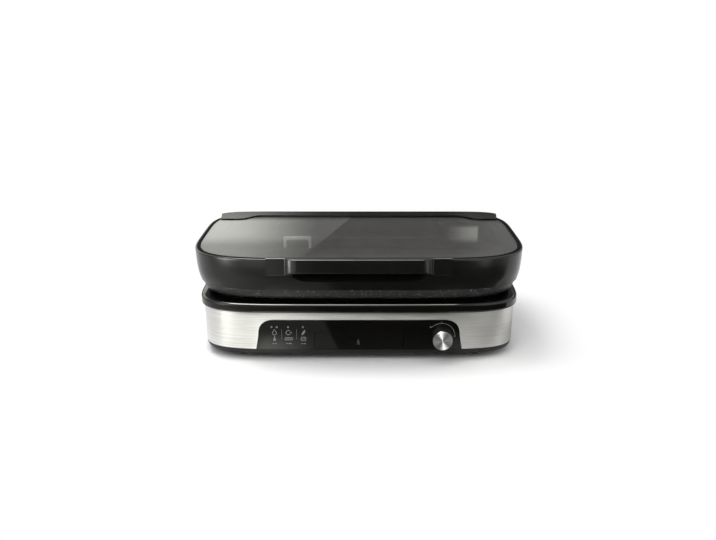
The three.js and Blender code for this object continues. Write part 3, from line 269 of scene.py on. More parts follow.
backGlow = {
    "behindLid": (0.328, 0.342, 0.12, 1.0),
    "pale": (-0.37, -0.09, 1.65, 0.2), "paleDip": (0.375, 0.41, 1.0, 0.55), "paleTop": (0.43, 0.5, 0.0, 0.5),
    "dark": (0.22, 0.38, 0.055, 0.19), "darkTop": (0.41, 0.5, 0.0, 0.35),
    "patchStart": (0.215, 0.3, 0.0, 0.42), "patchEnd": (0.302, 0.308, 1.0, 0.0),
    "patchLow": (0.35, 0.362, 0.0, 1.0), "patchTop": (0.38, 0.402, 1.0, 0.0),
}


def paleStrength(x, y, z):
    level = x.ramp(*backGlow["pale"]) * z.ramp(*backGlow["paleDip"]) * z.ramp(*backGlow["behindLid"])
    return level + z.ramp(*backGlow["paleTop"])


def darkStrength(x, y, z):
    patch = x.ramp(*backGlow["patchStart"]) * x.ramp(*backGlow["patchEnd"])
    patch = patch * z.ramp(*backGlow["patchLow"]) * z.ramp(*backGlow["patchTop"])
    level = (x.ramp(*backGlow["dark"]) + patch) * z.ramp(*backGlow["behindLid"])
    return level + z.ramp(*backGlow["darkTop"])


# the two cards behind share a slanting edge, given by its x at the floor and at the top
backCard = {"y": 1.0, "half": 2.4, "top": 0.96, "splitLow": 0.3775, "splitTop": -0.7745}


def backCorners(low0, low1, top1, top0):
    y, top = backCard["y"], backCard["top"]
    return [(low0, y, 0), (low1, y, 0), (top1, y, top), (top0, y, top)]


backHalf, splitLow, splitTop = backCard["half"], backCard["splitLow"], backCard["splitTop"]
cards = {
    "frontCard": (flat(-1.6, 1.6, -1.6, -0.158, 0.001), frontStrength),
    "frontWall": (upright((-2.6, -1.75), (2.6, -1.75), 0.3, 1.7), wallStrength),
    "frontSkirt": (upright((-0.75, -1.74), (0.75, -1.74), 0, 0.3), 0.06),
    "backPale": (backCorners(-backHalf, splitLow, splitTop, -backHalf), paleStrength),
    "backDark": (backCorners(splitLow, backHalf, backHalf, splitTop), darkStrength),
    "leftSoftbox": (upright((-1.6, -0.75), (-0.95, -1.4), 0.05, 1.3), 2.0),
    "leftSide": (upright((-2.0, -0.5), (-2.0, 1.6), 0, 1.3), 0.5),
    "rightFloor": (flat(0.235, 0.37, -0.14, 0.3, 0.001), (0.26, 0.37, 0.22, 0.9)),
    "topSoftbox": (flat(-1.2, 0.5, -1.4, -0.4, 1.9), (-0.5, 0.2, 30.0, 12.0)),
}
makeWorld()
makeFloor()
for lampName, lampSet in studioLamps.items():
    makeLamp(lampName, lampSet)
for cardName, (cardCorners, cardGlow) in cards.items():
    makeCard(cardName, cardCorners, cardGlow)
print("camera, floor and light ready")


# Shader node groups: each gives a colour, a roughness and a height for the bump

def newGroup(name, inputs):
    group = bpy.data.node_groups.new(name, "ShaderNodeTree")
    group.interface.new_socket("Vector", in_out="INPUT", socket_type="NodeSocketVector")
    for label, value in inputs.items():
        kind = "NodeSocketColor" if isinstance(value, tuple) else "NodeSocketFloat"
        group.interface.new_socket(label, in_out="INPUT", socket_type=kind).default_value = value
    for label, kind in (("Colour", "Color"), ("Roughness", "Float"), ("Height", "Float")):
        group.interface.new_socket(label, in_out="OUTPUT", socket_type="NodeSocket" + kind)
    return group, wiresOf(group, "NodeGroupInput")


def endGroup(group, colour, roughness, height):
    addNode(group, "NodeGroupOutput", {"Colour": colour, "Roughness": roughness, "Height": height})
    return group


def noise(vector, scale, detail=2.0, rough=0.5):
    inputs = {"Vector": vector, "Scale": scale, "Detail": detail, "Roughness": rough}
    return outOf(vector.tree, "ShaderNodeTexNoise", inputs)


def stretched(vector, factors):
    return outOf(vector.tree, "ShaderNodeVectorMath", {0: vector, 1: factors}, operation="MULTIPLY")


def tinted(colour, factor):
    return outOf(colour.tree, "ShaderNodeVectorMath", {0: colour, "Scale": factor}, operation="SCALE")


def swung(swing, spread, given):
    # the roughness, moved up and down by its spread
    return swing.operate("MULTIPLY_ADD", spread, given["Roughness"], clamp=True)


def buildMouldedGrain():
    group, given = newGroup("mouldedGrain", {
        "Colour": (0.01, 0.01, 0.01, 1), "Roughness": 0.4, "Spread": 0.1, "Scale": 2200.0, "Depth": 0.4})
    vector = given["Vector"]
    fine = noise(vector, given["Scale"], detail=3.0)
    broad = noise(vector, 22.0, detail=3.0)
    smear = noise(stretched(vector, (60, 60, 160)), 1.0, detail=4.0)
    swing = (broad * 0.65 + smear * 0.35) * 2.0 - 1.0
    colour = tinted(given["Colour"], swing * 0.25 + 1.0)
    return endGroup(group, colour, swung(swing, given["Spread"], given), fine * given["Depth"])


def buildBrushedLines():
    group, given = newGroup("brushedLines", {
        "Colour": (0.6, 0.6, 0.59, 1), "Roughness": 0.3, "Spread": 0.1, "Contrast": 0.12, "Depth": 0.3})
    long = noise(stretched(given["Vector"], (8, 8, 800)), 1.0, detail=3.0, rough=0.7)
    short = noise(stretched(given["Vector"], (40, 40, 2000)), 1.0, rough=0.6)
    both = long * 0.6 + short * 0.4
    swing = both * 2.0 - 1.0
    colour = tinted(given["Colour"], swing * given["Contrast"] + 1.0)
    return endGroup(group, colour, swung(swing, given["Spread"], given), both * given["Depth"])


def buildCastSpeckle():
    group, given = newGroup("castSpeckle", {
        "Coating": (0.012, 0.012, 0.011, 1), "Fleck": (0.2, 0.2, 0.19, 1), "Amount": 0.3, "Scale": 700.0})
    vector = given["Vector"]
    flecks = wiresOf(group, "ShaderNodeTexVoronoi", {"Vector": vector, "Scale": given["Scale"]})
    tones = list(wiresOf(group, "ShaderNodeSeparateColor", {0: flecks["Color"]}).values())
    chosen = tones[0].operate("LESS_THAN", given["Amount"])
    near = outOf(group, "ShaderNodeMapRange", {"Value": flecks["Distance"], "From Min": 0.42,
                                               "From Max": 0.18})
    patchy = noise(vector, 60.0, detail=3.0).operate("MULTIPLY_ADD", 1.6, -0.2, clamp=True)
    mask = chosen * near * patchy * tones[1]
    colour = outOf(group, "ShaderNodeMix", {"Factor": mask, 6: given["Coating"], 7: given["Fleck"]}, 2,
                   data_type="RGBA")
    roughness = noise(vector, 40.0) * 0.16 + 0.34
    return endGroup(group, colour, roughness, noise(vector, 2600.0) * 0.5 + mask * 0.4)


def buildSpunRingsPaintedSheen():
    group, given = newGroup("spunRingsPaintedSheen", {
        "Colour": (0.75, 0.75, 0.74, 1), "Roughness": 0.25, "Pitch": 0.00035})
    x, y, z = wiresOf(group, "ShaderNodeSeparateXYZ", {0: given["Vector"]}).values()
    radius = (x.operate("POWER", 2.0) + y.operate("POWER", 2.0)).operate("SQRT")
    turns = radius.operate("DIVIDE", given["Pitch"])
    rings = outOf(group, "ShaderNodeTexNoise", {"W": turns, "Scale": 1.0, "Detail": 3.0},
                  noise_dimensions="1D")
    swing = rings * 2.0 - 1.0
    # painted highlight and shade: four pale and four dark wedges turn round the middle, standing in for the
    # lamps' reflections in the spun cap
    angle = outOf(group, "ShaderNodeTexGradient", {"Vector": given["Vector"]}, "Fac", gradient_type="RADIAL")
    paintedSheenWedge = (angle * math.radians(4 * 360) + 0.9).operate("SINE")
    colour = tinted(given["Colour"], swing * 0.2 + (paintedSheenWedge * 0.5 + 1.0))
    return endGroup(group, colour, swung(swing, 0.1, given), rings * 0.6)


groups = {
    "mouldedGrain": buildMouldedGrain(),
    "brushedLines": buildBrushedLines(),
    "castSpeckle": buildCastSpeckle(),
    "spunRingsPaintedSheen": buildSpunRingsPaintedSheen(),
}
knobTilt = math.atan2(1.5, 51.3)  # the lean of the steel band in front
knobFace = {"place": (0.111, -0.14571, 0.0335), "rotation": (math.radians(90) + knobTilt, 0, 0)}  # in metres
reliefDepth = 0.0001


def makeFinish(name, groupName, settings, shader, bump, turn=None):
    mat, tree = newMaterial(name)
    vector = wiresOf(tree, "ShaderNodeTexCoord")["Object"]
    if turn:
        vector = outOf(tree, "ShaderNodeMapping", {"Vector": vector, "Location": turn["place"],
                                                   "Rotation": turn["rotation"]}, vector_type="TEXTURE")
    pattern = wiresOf(tree, "ShaderNodeGroup", {"Vector": vector, **settings}, node_tree=groups[groupName])
    relief = outOf(tree, "ShaderNodeBump", {"Height": pattern["Height"], "Strength": bump,
                                            "Distance": reliefDepth})
    principled = tree.nodes["Principled BSDF"].inputs
    inputs = {"Base Color": pattern["Colour"], "Roughness": pattern["Roughness"], "Normal": relief, **shader}
    for label, value in inputs.items():
        plug(value, principled[label])
    return mat


def grey(level, warm=0.0):
    return (level * (1 + warm), level, level * (1 - 1.5 * warm), 1)


# each row follows its columns, with the bump and the other inputs of the Principled node last
finishTables = {
    "mouldedGrain": {
        "columns": ("Colour", "Roughness", "Spread", "Scale", "Depth"),
        "lidPlastic": (grey(0.006, 0.04), 0.2, 0.06, 2600.0, 0.4, 0.06, {}),
        "plainPlastic": (grey(0.009, 0.02), 0.46, 0.1, 1500.0, 0.6, 0.2, {"Specular IOR Level": 0.4}),
        "glossBlack": (grey(0.0035, 0.05), 0.06, 0.05, 900.0, 0.1, 0.03, {}),
        "sealRubber": (grey(0.003), 0.7, 0.06, 1800.0, 0.4, 0.15, {"Specular IOR Level": 0.03}),
        "footRubber": (grey(0.012), 0.8, 0.08, 1200.0, 0.8, 0.3, {}),
        "elementTube": (grey(0.07, 0.03), 0.5, 0.15, 900.0, 0.5, 0.2, {"Metallic": 0.8}),
        "ceramic": ((0.72, 0.68, 0.6, 1), 0.45, 0.1, 1400.0, 0.4, 0.15, {}),
        "circuitBoard": ((0.012, 0.11, 0.03, 1), 0.35, 0.1, 800.0, 0.4, 0.15, {}),
        "lampLens": (grey(0.16), 0.25, 0.05, 900.0, 0.2, 0.05, {}),
        "lightPlastic": ((0.62, 0.6, 0.53, 1), 0.45, 0.1, 1400.0, 0.4, 0.15, {}),
        "panelPrint": (grey(0.2, 0.01), 0.5, 0.1, 2600.0, 0.4, 0.1, {}),
        "drawerPrint": (grey(0.09, 0.01), 0.5, 0.1, 2600.0, 0.4, 0.1, {}),
        "smokedGlass": (grey(0.28, 0.02), 0.02, 0.015, 500.0, 0.05, 0.01,
                        {"Transmission Weight": 1.0, "IOR": 1.5}),
    },
    "brushedLines": {
        "columns": ("Colour", "Roughness", "Spread", "Contrast", "Depth"),
        "brushedSteel": (grey(0.7, 0.01), 0.38, 0.12, 0.5, 0.4, 0.08,
                         {"Metallic": 1.0, "Anisotropic": 0.85, "Anisotropic Rotation": 0.25}),
        "plainSteel": (grey(0.5), 0.35, 0.1, 0.1, 0.3, 0.1, {"Metallic": 1.0}),
        # painted light: the lift tab's steel is pale and almost not metallic, brighter than plain steel, so
        # that it shows lit under the dark glass
        "tabSteelPaintedBright": (grey(0.85), 0.35, 0.1, 0.1, 0.3, 0.1, {"Metallic": 0.1}),
        "reflectorSheet": (grey(0.62), 0.28, 0.08, 0.08, 0.2, 0.05, {"Metallic": 1.0}),
    },
    "castSpeckle": {
        "columns": ("Coating", "Fleck", "Amount", "Scale"),
        "castCoating": (grey(0.022, 0.02), grey(0.5, 0.03), 0.35, 650.0, 0.25, {}),
    },
    "spunRingsPaintedSheen": {
        "columns": ("Colour", "Roughness", "Pitch"),
        # the spun cap's colour carries painted highlight wedges, besides its turned rings
        "spunMetal": (grey(0.53, 0.004), 0.5, 0.0006, 0.1,
                      {"Metallic": 0.85, "Anisotropic": 0.9, "Anisotropic Rotation": 0.25}),
    },
}
finishes = {}
for groupName, table in finishTables.items():
    columns = table.pop("columns")
    turn = knobFace if groupName == "spunRingsPaintedSheen" else None
    for name, (*values, bump, shader) in table.items():
        finishes[name] = makeFinish(name, groupName, dict(zip(columns, values)), shader, bump, turn)


def letShadowsThrough(mat, level):
    # shadow rays pass the glass, dimmed, so that what lies under it is lit
    tree = mat.node_tree
    shadow = wiresOf(tree, "ShaderNodeLightPath")["Is Shadow Ray"]
    clear = outOf(tree, "ShaderNodeBsdfTransparent", {"Color": (level, level, level, 1)})
    surface = Wire(tree, tree.nodes["Principled BSDF"].outputs[0])
    plug(outOf(tree, "ShaderNodeMixShader", {0: shadow, 1: surface, 2: clear}), surfaceOf(tree))


def turnTangent(mat):
    # the turned rings pull the highlight out along the radius
    tree = mat.node_tree
    tangent = outOf(tree, "ShaderNodeTangent", direction_type="RADIAL", axis="Y")
    plug(tangent, tree.nodes["Principled BSDF"].inputs["Tangent"])


letShadowsThrough(finishes["smokedGlass"], 0.9)
turnTangent(finishes["spunMetal"])
print("finishes ready:", len(finishes))

slotFinish = {
    "black_plastic": "plainPlastic", "gloss_black": "glossBlack", "brushed_steel": "brushedSteel",
    "smoked_glass": "smokedGlass", "seal_rubber": "sealRubber", "foot_rubber": "footRubber",
    "cast_coating": "castCoating", "reflector_sheet": "reflectorSheet", "element_tube": "elementTube",
    "ceramic": "ceramic", "plain_steel": "plainSteel", "spun_metal": "spunMetal",
    "circuit_board": "circuitBoard", "lamp_lens": "lampLens", "light_plastic": "lightPlastic",
}
for entry in frame["record"]["subparts"]:
    node = frame["nodes"][entry["node"]]
    finish = finishes[slotFinish[entry["material_slot"]]]
    if not node.material_slots:
        node.data.materials.append(finish)
    for place in node.material_slots:
        place.material = finish
print("CAD nodes painted")


# Mesh tools: sizes in millimetres from the lid's middle, meshes in metres

outlineSteps = 240
lidOutline = {"halfWidth": 228.0, "halfDepth": 155.0, "power": 4.6}
baseOutline = {"halfWidth": 220.0, "halfDepth": 150.5, "power": 6.0}
glassOutline = {"halfWidth": 228.0, "halfDepth": 156.2, "power": 4.6}
coverOutline = {"halfWidth": 228.0, "halfDepth": 155.0, "power": 11.0}
smoothBelow = math.radians(32)
bevelAbove = math.radians(35)
weldDistance = 2e-7  # metres
cornerShare = 0.48  # the part of a side that a rounded corner may take
beyond = 6.0  # how far a cutting body passes what it cuts


def placed(x, y, z):
    return (x * mm, y * mm + middleY, z * mm)


def ringPoint(outline, inset, height, turn, shift=0.0):
    across, along = math.cos(turn), math.sin(turn)
    share = 2 / outline["power"]
    x = (outline["halfWidth"] - inset) * math.copysign(abs(across) ** share, across)
    y = (outline["halfDepth"] - inset) * math.copysign(abs(along) ** share, along)
    return (x, y + shift, height)


def softened(points, steps=4):
    # each point is (a, b) or (a, b, radius): corners with a radius become short arcs
    count = len(points)
    result = []
    for i, point in enumerate(points):
        radius = point[2] if len(point) > 2 else 0
        if not radius:
            result.append((point[0], point[1]))
            continue
        corner = Vector(point[:2])
        before = Vector(points[i - 1][:2]) - corner
        after = Vector(points[(i + 1) % count][:2]) - corner
        start = corner + before.normalized() * min(radius, cornerShare * before.length)
        end = corner + after.normalized() * min(radius, cornerShare * after.length)
        for k in range(steps + 1):
            t = k / steps
            spot = start * (1 - t) ** 2 + corner * 2 * t * (1 - t) + end * t ** 2
            result.append((spot.x, spot.y))
    return result


def flowing(points, steps=5):
    # a smooth curve through points, for walls that bend
    result = []
    last = len(points) - 1
    for i in range(last):
        p0, p1 = Vector(points[max(i - 1, 0)]), Vector(points[i])
        p2, p3 = Vector(points[i + 1]), Vector(points[min(i + 2, last)])
        for k in range(steps):
            t = k / steps
            spot = 0.5 * (2 * p1 + (p2 - p0) * t + (2 * p0 - 5 * p1 + 4 * p2 - p3) * t ** 2
                          + (3 * p1 - p0 - 3 * p2 + p3) * t ** 3)
            result.append((spot.x, spot.y))
    return result + [tuple(points[last])]


def bezier(points, steps):
    result = []
    order = len(points) - 1
    for k in range(steps + 1):
        t = k / steps
        weights = [math.comb(order, i) * t ** i * (1 - t) ** (order - i) for i in range(order + 1)]
        result.append(tuple(sum(w * p[axis] for w, p in zip(weights, points)) for axis in range(2)))
    return result


def mirrored(points):
    return [(-x, y) for x, y in reversed(points)]


def skinned(sections, hoop=False):
    # verts and faces through equal sections, capped or closed on itself
    count, size = len(sections), len(sections[0])
    faces = []
    for k in range(count if hoop else count - 1):
        low, high = k * size, (k + 1) % count * size
        faces += [(low + i, low + (i + 1) % size, high + (i + 1) % size, high + i) for i in range(size)]
    if not hoop:
        faces += [tuple(reversed(range(size))), tuple(range((count - 1) * size, count * size))]
    return [vert for section in sections for vert in section], faces


def lofted(outline, profile, hoop=False, shifts=None, outlines=None):
    # a body through rings of one outline, or of one outline and shift for each ring
    sections = []
    for k, (inset, height) in enumerate(profile):
        shape = outlines[k] if outlines else outline
        shift = shifts[k] if shifts else 0.0
        sections.append([ringPoint(shape, inset, height, 2 * math.pi * i / outlineSteps, shift)
                         for i in range(outlineSteps)])
    return skinned(sections, hoop)


def turnedShape(profile, steps=64):
    # a body turned about the z axis from (radius, height) points, which end on the axis
    verts, faces, rows = [], [], []
    for radius, height in profile:
        if radius < 1e-6:
            rows.append([len(verts)] * steps)
            verts.append((0, 0, height))
        else:
            rows.append(list(range(len(verts), len(verts) + steps)))
            turns = [2 * math.pi * i / steps for i in range(steps)]
            verts += [(radius * math.cos(turn), radius * math.sin(turn), height) for turn in turns]
    for low, high in zip(rows, rows[1:]):
        for i in range(steps):
            j = (i + 1) % steps
            face = tuple(dict.fromkeys((low[i], low[j], high[j], high[i])))
            if len(face) > 2:
                faces.append(face)
    return verts, faces


def prism(outline, low, high, axis):
    # a flat outline carried along an axis: z from (x, y), y from (x, z)
    if axis == "z":
        return skinned([[(a, b, end) for a, b in outline] for end in (low, high)])
    return skinned([[(a, end, b) for a, b in outline] for end in (low, high)])


def moved(shape, matrix):
    verts, faces = shape
    return [tuple(matrix @ Vector(v)) for v in verts], faces


def joined(*shapes):
    verts, faces = [], []
    for more, polygons in shapes:
        start = len(verts)
        verts += more
        faces += [tuple(start + i for i in polygon) for polygon in polygons]
    return verts, faces


def rodShape(axis, radius, length, x, y, z, steps=32):
    turn = Matrix.Rotation(math.pi / 2, 4, "X") if axis == "y" else Matrix()
    half = length / 2
    rod = turnedShape([(0, -half), (radius, -half), (radius, half), (0, half)], steps)
    return moved(rod, Matrix.Translation((x, y, z)) @ turn)


def fourCorners(x, y):
    return [(signX * x, signY * y) for signX in (-1, 1) for signY in (-1, 1)]


def asObject(name, shape):
    verts, faces = shape
    mesh = bpy.data.meshes.new(name)
    mesh.from_pydata([placed(*vert) for vert in verts], [], faces)
    piece = inScene(name, mesh)
    build = bmesh.new()
    build.from_mesh(mesh)
    bmesh.ops.remove_doubles(build, verts=build.verts, dist=weldDistance)
    bmesh.ops.recalc_face_normals(build, faces=build.faces)
    build.to_mesh(mesh)
    build.free()
    return piece


def modified(piece, kind, **settings):
    # the piece with a modifier applied to its mesh
    modifier = piece.modifiers.new("change", kind)
    for label, value in settings.items():
        setattr(modifier, label, value)
    return applyModifiers(piece)


def applyModifiers(piece):
    depsgraph = bpy.context.evaluated_depsgraph_get()
    mesh = bpy.data.meshes.new_from_object(piece.evaluated_get(depsgraph))
    piece.modifiers.clear()
    old = piece.data
    piece.data = mesh
    bpy.data.meshes.remove(old)
    return piece


def combined(piece, other, operation):
    # the other shape or object is used up
    cutter = asObject("cutter", other) if isinstance(other, tuple) else other
    modified(piece, "BOOLEAN", solver="EXACT", operation=operation, object=cutter)
    mesh = cutter.data
    bpy.data.objects.remove(cutter)
    bpy.data.meshes.remove(mesh)
    return piece


def drilled(piece, radius, length, x, y, z, axis="y", steps=32):
    return combined(piece, rodShape(axis, radius, length, x, y, z, steps), "DIFFERENCE")


def drilledTwice(piece, radius, length, x, y, z):
    for side in (-1, 1):
        drilled(piece, radius, length, side * x, y, z)


def bevelled(piece, width, segments=2):
    return modified(piece, "BEVEL", width=width * mm, segments=segments, limit_method="ANGLE",
                    angle_limit=bevelAbove, harden_normals=False)


def finished(piece, finish, body, slot, *nodes):
    # smooth shading, material, body and the CAD nodes that the piece stands for; the slot is not used
    for polygon in piece.data.polygons:
        polygon.use_smooth = True
    piece.data.set_sharp_from_angle(angle=smoothBelow)
    mesh = modified(piece, "WEIGHTED_NORMAL", keep_sharp=True).data
    mesh.materials.clear()
    mesh.materials.append(finishes[finish])
    for polygon in mesh.polygons:
        polygon.material_index = 0
    mesh.name = piece.name
    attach(piece, body)
    if nodes:
        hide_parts(*nodes)
    return piece


def openEdges(*pieces):
    counts = {}
    for piece in pieces:
        build = bmesh.new()
        build.from_mesh(piece.data)
        counts[piece.name] = sum(1 for edge in build.edges if len(edge.link_faces) != 2)
        build.free()
    return counts


# Lid

# profiles are (inset, height) or (inset, height, radius)
lidWall = {
    "outside": [(5.8, 99.3), (2.6, 111.7), (0.8, 126.7), (0.0, 139.7)],
    "inside": [(0.0, 142.8, 1.8), (2.2, 142.8), (2.2, 138.7), (9.0, 138.7, 0.3), (9.0, 135.7, 0.5),
               (4.7, 132.7), (7.3, 111.7), (11.0, 99.3, 0.6)],
    "footRadius": 0.5, "browRadius": 0.6, "gap": 0.3,
    "coreFoot": (5.8, 93.3), "coreTop": [(0.0, 142.8), (2.8, 142.8), (2.8, 143.2)],
}
pocket = {
    "reach": 104.0, "runOut": 34.0, "steps": 44, "shallow": 1.0, "depth": 14.0, "top": 132.0, "wall": 3.0,
    "ahead": 6.0, "knee": 121.5, "kneeRise": 6.0, "foot": 109.5, "footShare": 0.4, "footInset": 0.8,
    "kneeBend": (1.2, 2.0), "footBend": (2.2, 4.0), "footDrop": 4.0, "bendSteps": 10,
}
# holes are (radius, length, x, y, height), one at each side
hingeHole = (2.1, 24.0, 129.96, 155.0, 121.5)
gripHole = (1.8, 24.0, 97.0, -155.0, 130.0)
lipHole = (1.8, 11.0, 97.0, -148.6, 130.0)


def lidCore(grow):
    # what lies inside the lid's outer face, grown all round
    top = [(inset, height + grow) for inset, height in lidWall["coreTop"]]
    profile = [lidWall["coreFoot"], *flowing(lidWall["outside"]), *top]
    return lofted(lidOutline, [(inset - grow, height) for inset, height in profile])


def pocketShape(grow):
    # the finger recess: deep in the middle, running out at both ends, with a foot that curves outwards
    sections = []
    reach = pocket["reach"] + grow
    frontY = -lidOutline["halfDepth"] - pocket["ahead"]
    footY = -lidOutline["halfDepth"] + pocket["footInset"]
    top = pocket["top"] + grow
    kneeBend, footBend = pocket["kneeBend"], pocket["footBend"]
    for k in range(pocket["steps"] + 1):
        x = reach * (2 * k / pocket["steps"] - 1)
        near = max(0.0, min(1.0, (reach - abs(x)) / pocket["runOut"]))
        share = near * near * (3 - 2 * near)
        depth = pocket["shallow"] + (pocket["depth"] - pocket["shallow"]) * share + grow
        backY = -lidOutline["halfDepth"] + depth
        knee = pocket["knee"] + pocket["kneeRise"] * (1 - share)
        drop = pocket["footShare"] + (1 - pocket["footShare"]) * share
        foot = knee - (pocket["knee"] - pocket["foot"] + 2 * grow) * drop
        curve = bezier([(backY, knee), (backY - kneeBend[0] * share, knee - kneeBend[1]),
                        (footY + footBend[0], foot + footBend[1]), (footY, foot)], pocket["bendSteps"])
        outline = [(frontY, top), (backY, top), *curve, (frontY, foot - pocket["footDrop"])]
        sections.append([(x, y, z) for y, z in outline])
    return skinned(sections)


def makeLidFrame():
    first, *middle, last = flowing(lidWall["outside"])
    profile = softened([(*first, lidWall["footRadius"]), *middle, (*last, lidWall["browRadius"]),
                        *lidWall["inside"]])
    piece = asObject("lid_shell", lofted(lidOutline, profile, hoop=True))
    wall = asObject("pocketWall", pocketShape(pocket["wall"]))
    combined(wall, lidCore(-lidWall["gap"] / 2), "INTERSECT")
    combined(piece, wall, "UNION")
    combined(piece, pocketShape(0), "DIFFERENCE")
    drilledTwice(piece, *hingeHole)
    drilledTwice(piece, *gripHole)
    return finished(piece, "lidPlastic", "lid", "black_plastic", "lid_frame")


glass = {"profile": [(5.6, 139.0), (4.6, 139.0, 0.5), (4.6, 143.0, 0.5), (5.6, 143.0)]}
seal = {"profile": [(2.0, 139.0), (2.0, 143.2, 0.3), (6.9, 143.2, 0.06), (6.9, 143.06), (4.3, 143.06),
                    (4.3, 139.0)], "glassFrom": 3.8}
retainer = {"profile": [(9.3, 135.5), (9.3, 138.7), (0.0, 138.7), (0.0, 135.5)], "shift": 6.0, "bevel": 0.4,
            "inner": {"halfWidth": 198.7, "halfDepth": 119.7, "power": 4.6}}


def makeGlass():
    pane = asObject("glass_pane", lofted(glassOutline, softened(glass["profile"])))
    return finished(pane, "smokedGlass", "lid", "smoked_glass", "lid_glass")


def makeSeal():
    # its outside follows the lid, its inside follows the glass
    profile = softened(seal["profile"])
    outlines = [lidOutline if inset < seal["glassFrom"] else glassOutline for inset, height in profile]
    ring = asObject("glass_gasket", lofted(lidOutline, profile, hoop=True, outlines=outlines))
    return finished(ring, "sealRubber", "lid", "seal_rubber", "glass_seal")


def makeRetainer():
    inner, shift = retainer["inner"], retainer["shift"]
    ring = lofted(lidOutline, retainer["profile"], hoop=True, shifts=[0, 0, shift, shift],
                  outlines=[lidOutline, lidOutline, inner, inner])
    piece = bevelled(asObject("glass_frame", ring), retainer["bevel"])
    return finished(piece, "plainPlastic", "lid", "black_plastic", "glass_retainer")


cover = {
    "profile": [(-2.6, 130.4), (-2.6, 136.4, 3.0), (-0.6, 142.5, 1.6), (5.4, 144.4, 2.0), (35.4, 144.4)],
    "end": [(-219.8, 161.0), (-219.8, 140.0), (-214.6, 93.0)],
    "bend": [(-190.0, 93.0), (-171.0, 93.0), (-171.0, 119.6), (-152.0, 119.6)],
    "bendSteps": 14, "cutLow": 124.4, "cutTop": 150.4, "edge": 0.35,
}


def makeCover():
    piece = asObject("hinge_cover_strip", lofted(coverOutline, softened(cover["profile"])))
    left = cover["end"] + bezier(cover["bend"], cover["bendSteps"])
    combined(piece, prism(left + mirrored(left), cover["cutLow"], cover["cutTop"], "z"), "INTERSECT")
    combined(piece, lidCore(lidWall["gap"]), "DIFFERENCE")
    bevelled(piece, cover["edge"], 3)
    return finished(piece, "lidPlastic", "lid", "black_plastic", "hinge_cover")


grip = {
    "arcs": [[(-98.0, -155.0), (-96.3, -155.0), (-95.6, -156.6)],
             [(-95.6, -156.6), (-95.1, -158.2), (-93.8, -159.2)],
             [(-93.8, -159.2), (-88.6, -163.0), (-81.0, -163.0)]], "arcSteps": 12, "acrossSteps": 24,
    "half": 86.0, "flare": 122.0, "face": -163.0, "wall": -155.0, "back": -149.0, "low": 121.5, "top": 144.5,
    "roof": 140.5, "undercut": 5.0, "skin": 3.0, "edge": 1.3, "edgeSteps": 5, "foot": 0.8, "footSteps": 4,
}


def gripPlan():
    # the front outline from the left flare to the right one, as (x, y)
    left = [(-grip["flare"], grip["wall"])]
    for arc in grip["arcs"]:
        left += bezier(arc, grip["arcSteps"])[:-1]
    shoulder, steps = grip["arcs"][-1][-1][0], grip["acrossSteps"]
    across = [(shoulder * (1 - 2 * k / steps), grip["face"]) for k in range(steps + 1)]
    return left + across + mirrored(left)


def makeGrip():
    plan = gripPlan()
    normals = []
    for i in range(len(plan)):
        before, after = Vector(plan[max(i - 1, 0)]), Vector(plan[min(i + 1, len(plan) - 1)])
        along = (after - before).normalized()
        normals.append((-along.y, along.x))  # inward, towards the lid
    lean = grip["undercut"] / (grip["wall"] - grip["face"])
    levels = []
    for k in range(grip["footSteps"] + 1):
        turn = math.pi / 2 * k / grip["footSteps"]
        levels.append((grip["foot"] * (1 - math.sin(turn)), "low", grip["foot"] * (1 - math.cos(turn))))
    for k in range(grip["edgeSteps"] + 1):
        turn = math.pi / 2 * k / grip["edgeSteps"]
        levels.append((grip["edge"] * (1 - math.cos(turn)), "top", -grip["edge"] * (1 - math.sin(turn))))
    sections = []
    for inset, anchor, offset in levels:
        ring = [(x + nx * inset, y + ny * inset) for (x, y), (nx, ny) in zip(plan, normals)]
        ring += [(grip["flare"], grip["back"]), (-grip["flare"], grip["back"])]
        slope = lean if anchor == "low" else 0.0
        sections.append([(x, y, grip[anchor] + slope * (grip["wall"] - y) + offset) for x, y in ring])
    piece = asObject("lid_grip_lip", skinned(sections))
    half, front, back = grip["half"], grip["face"] + grip["skin"], grip["wall"] + beyond
    plan = [(-half, front), (half, front), (half, back), (-half, back)]
    hollow = prism(plan, grip["low"] - beyond, grip["roof"], "z")
    combined(piece, hollow, "DIFFERENCE")
    combined(piece, lidCore(lidWall["gap"]), "DIFFERENCE")
    drilledTwice(piece, *lipHole)
    return finished(piece, "lidPlastic", "lid", "black_plastic", "lid_grip")


print("lid made, open edges:", openEdges(makeLidFrame(), makeCover(), makeGrip(), makeGlass(), makeSeal(),
                                         makeRetainer()))


# Base shell

rim = {"profile": [(3.0, 67.3, 0.4), (0.0, 69.8, 1.4), (0.0, 78.8, 1.6), (2.0, 80.8, 1.6), (20.0, 80.8, 0.6),
                   (20.0, 76.8), (26.0, 76.8, 0.4), (26.0, 74.8), (8.0, 74.8), (8.0, 67.3, 0.3)]}
posts = {"radius": 5.0, "x": 182.0, "y": 115.0, "low": 10.0, "top": 75.8}
pads = {"radius": 2.5, "x": 205.3, "y": 57.5, "low": 78.8, "top": 84.0}
band = {"low": 15.7, "top": 67.0, "lowInset": 5.0, "topInset": 3.5, "wall": 1.5, "steps": 10}
pan = {"profile": [(8.75, 7.2, 1.2), (6.25, 9.7, 1.5), (5.0, 15.4, 0.4), (9.0, 15.4, 0.4), (10.25, 9.7)],
       "low": 7.2, "holes": ((158.0, 112.0, 3.3), (182.0, 115.0, 2.1)), "holeLength": 15.0}
panel = {"topHalf": 135.0, "bottomHalf": 138.5, "height": 41.6, "corner": 22.0, "proud": 0.6,
         "thickness": 3.0, "gap": 0.3, "edge": 0.3}
gland = (6.3, 60.0, 84.0, 150.5, 31.7)  # radius, length, x, y, height
frontPart = (-170.0, -60.0, "y")


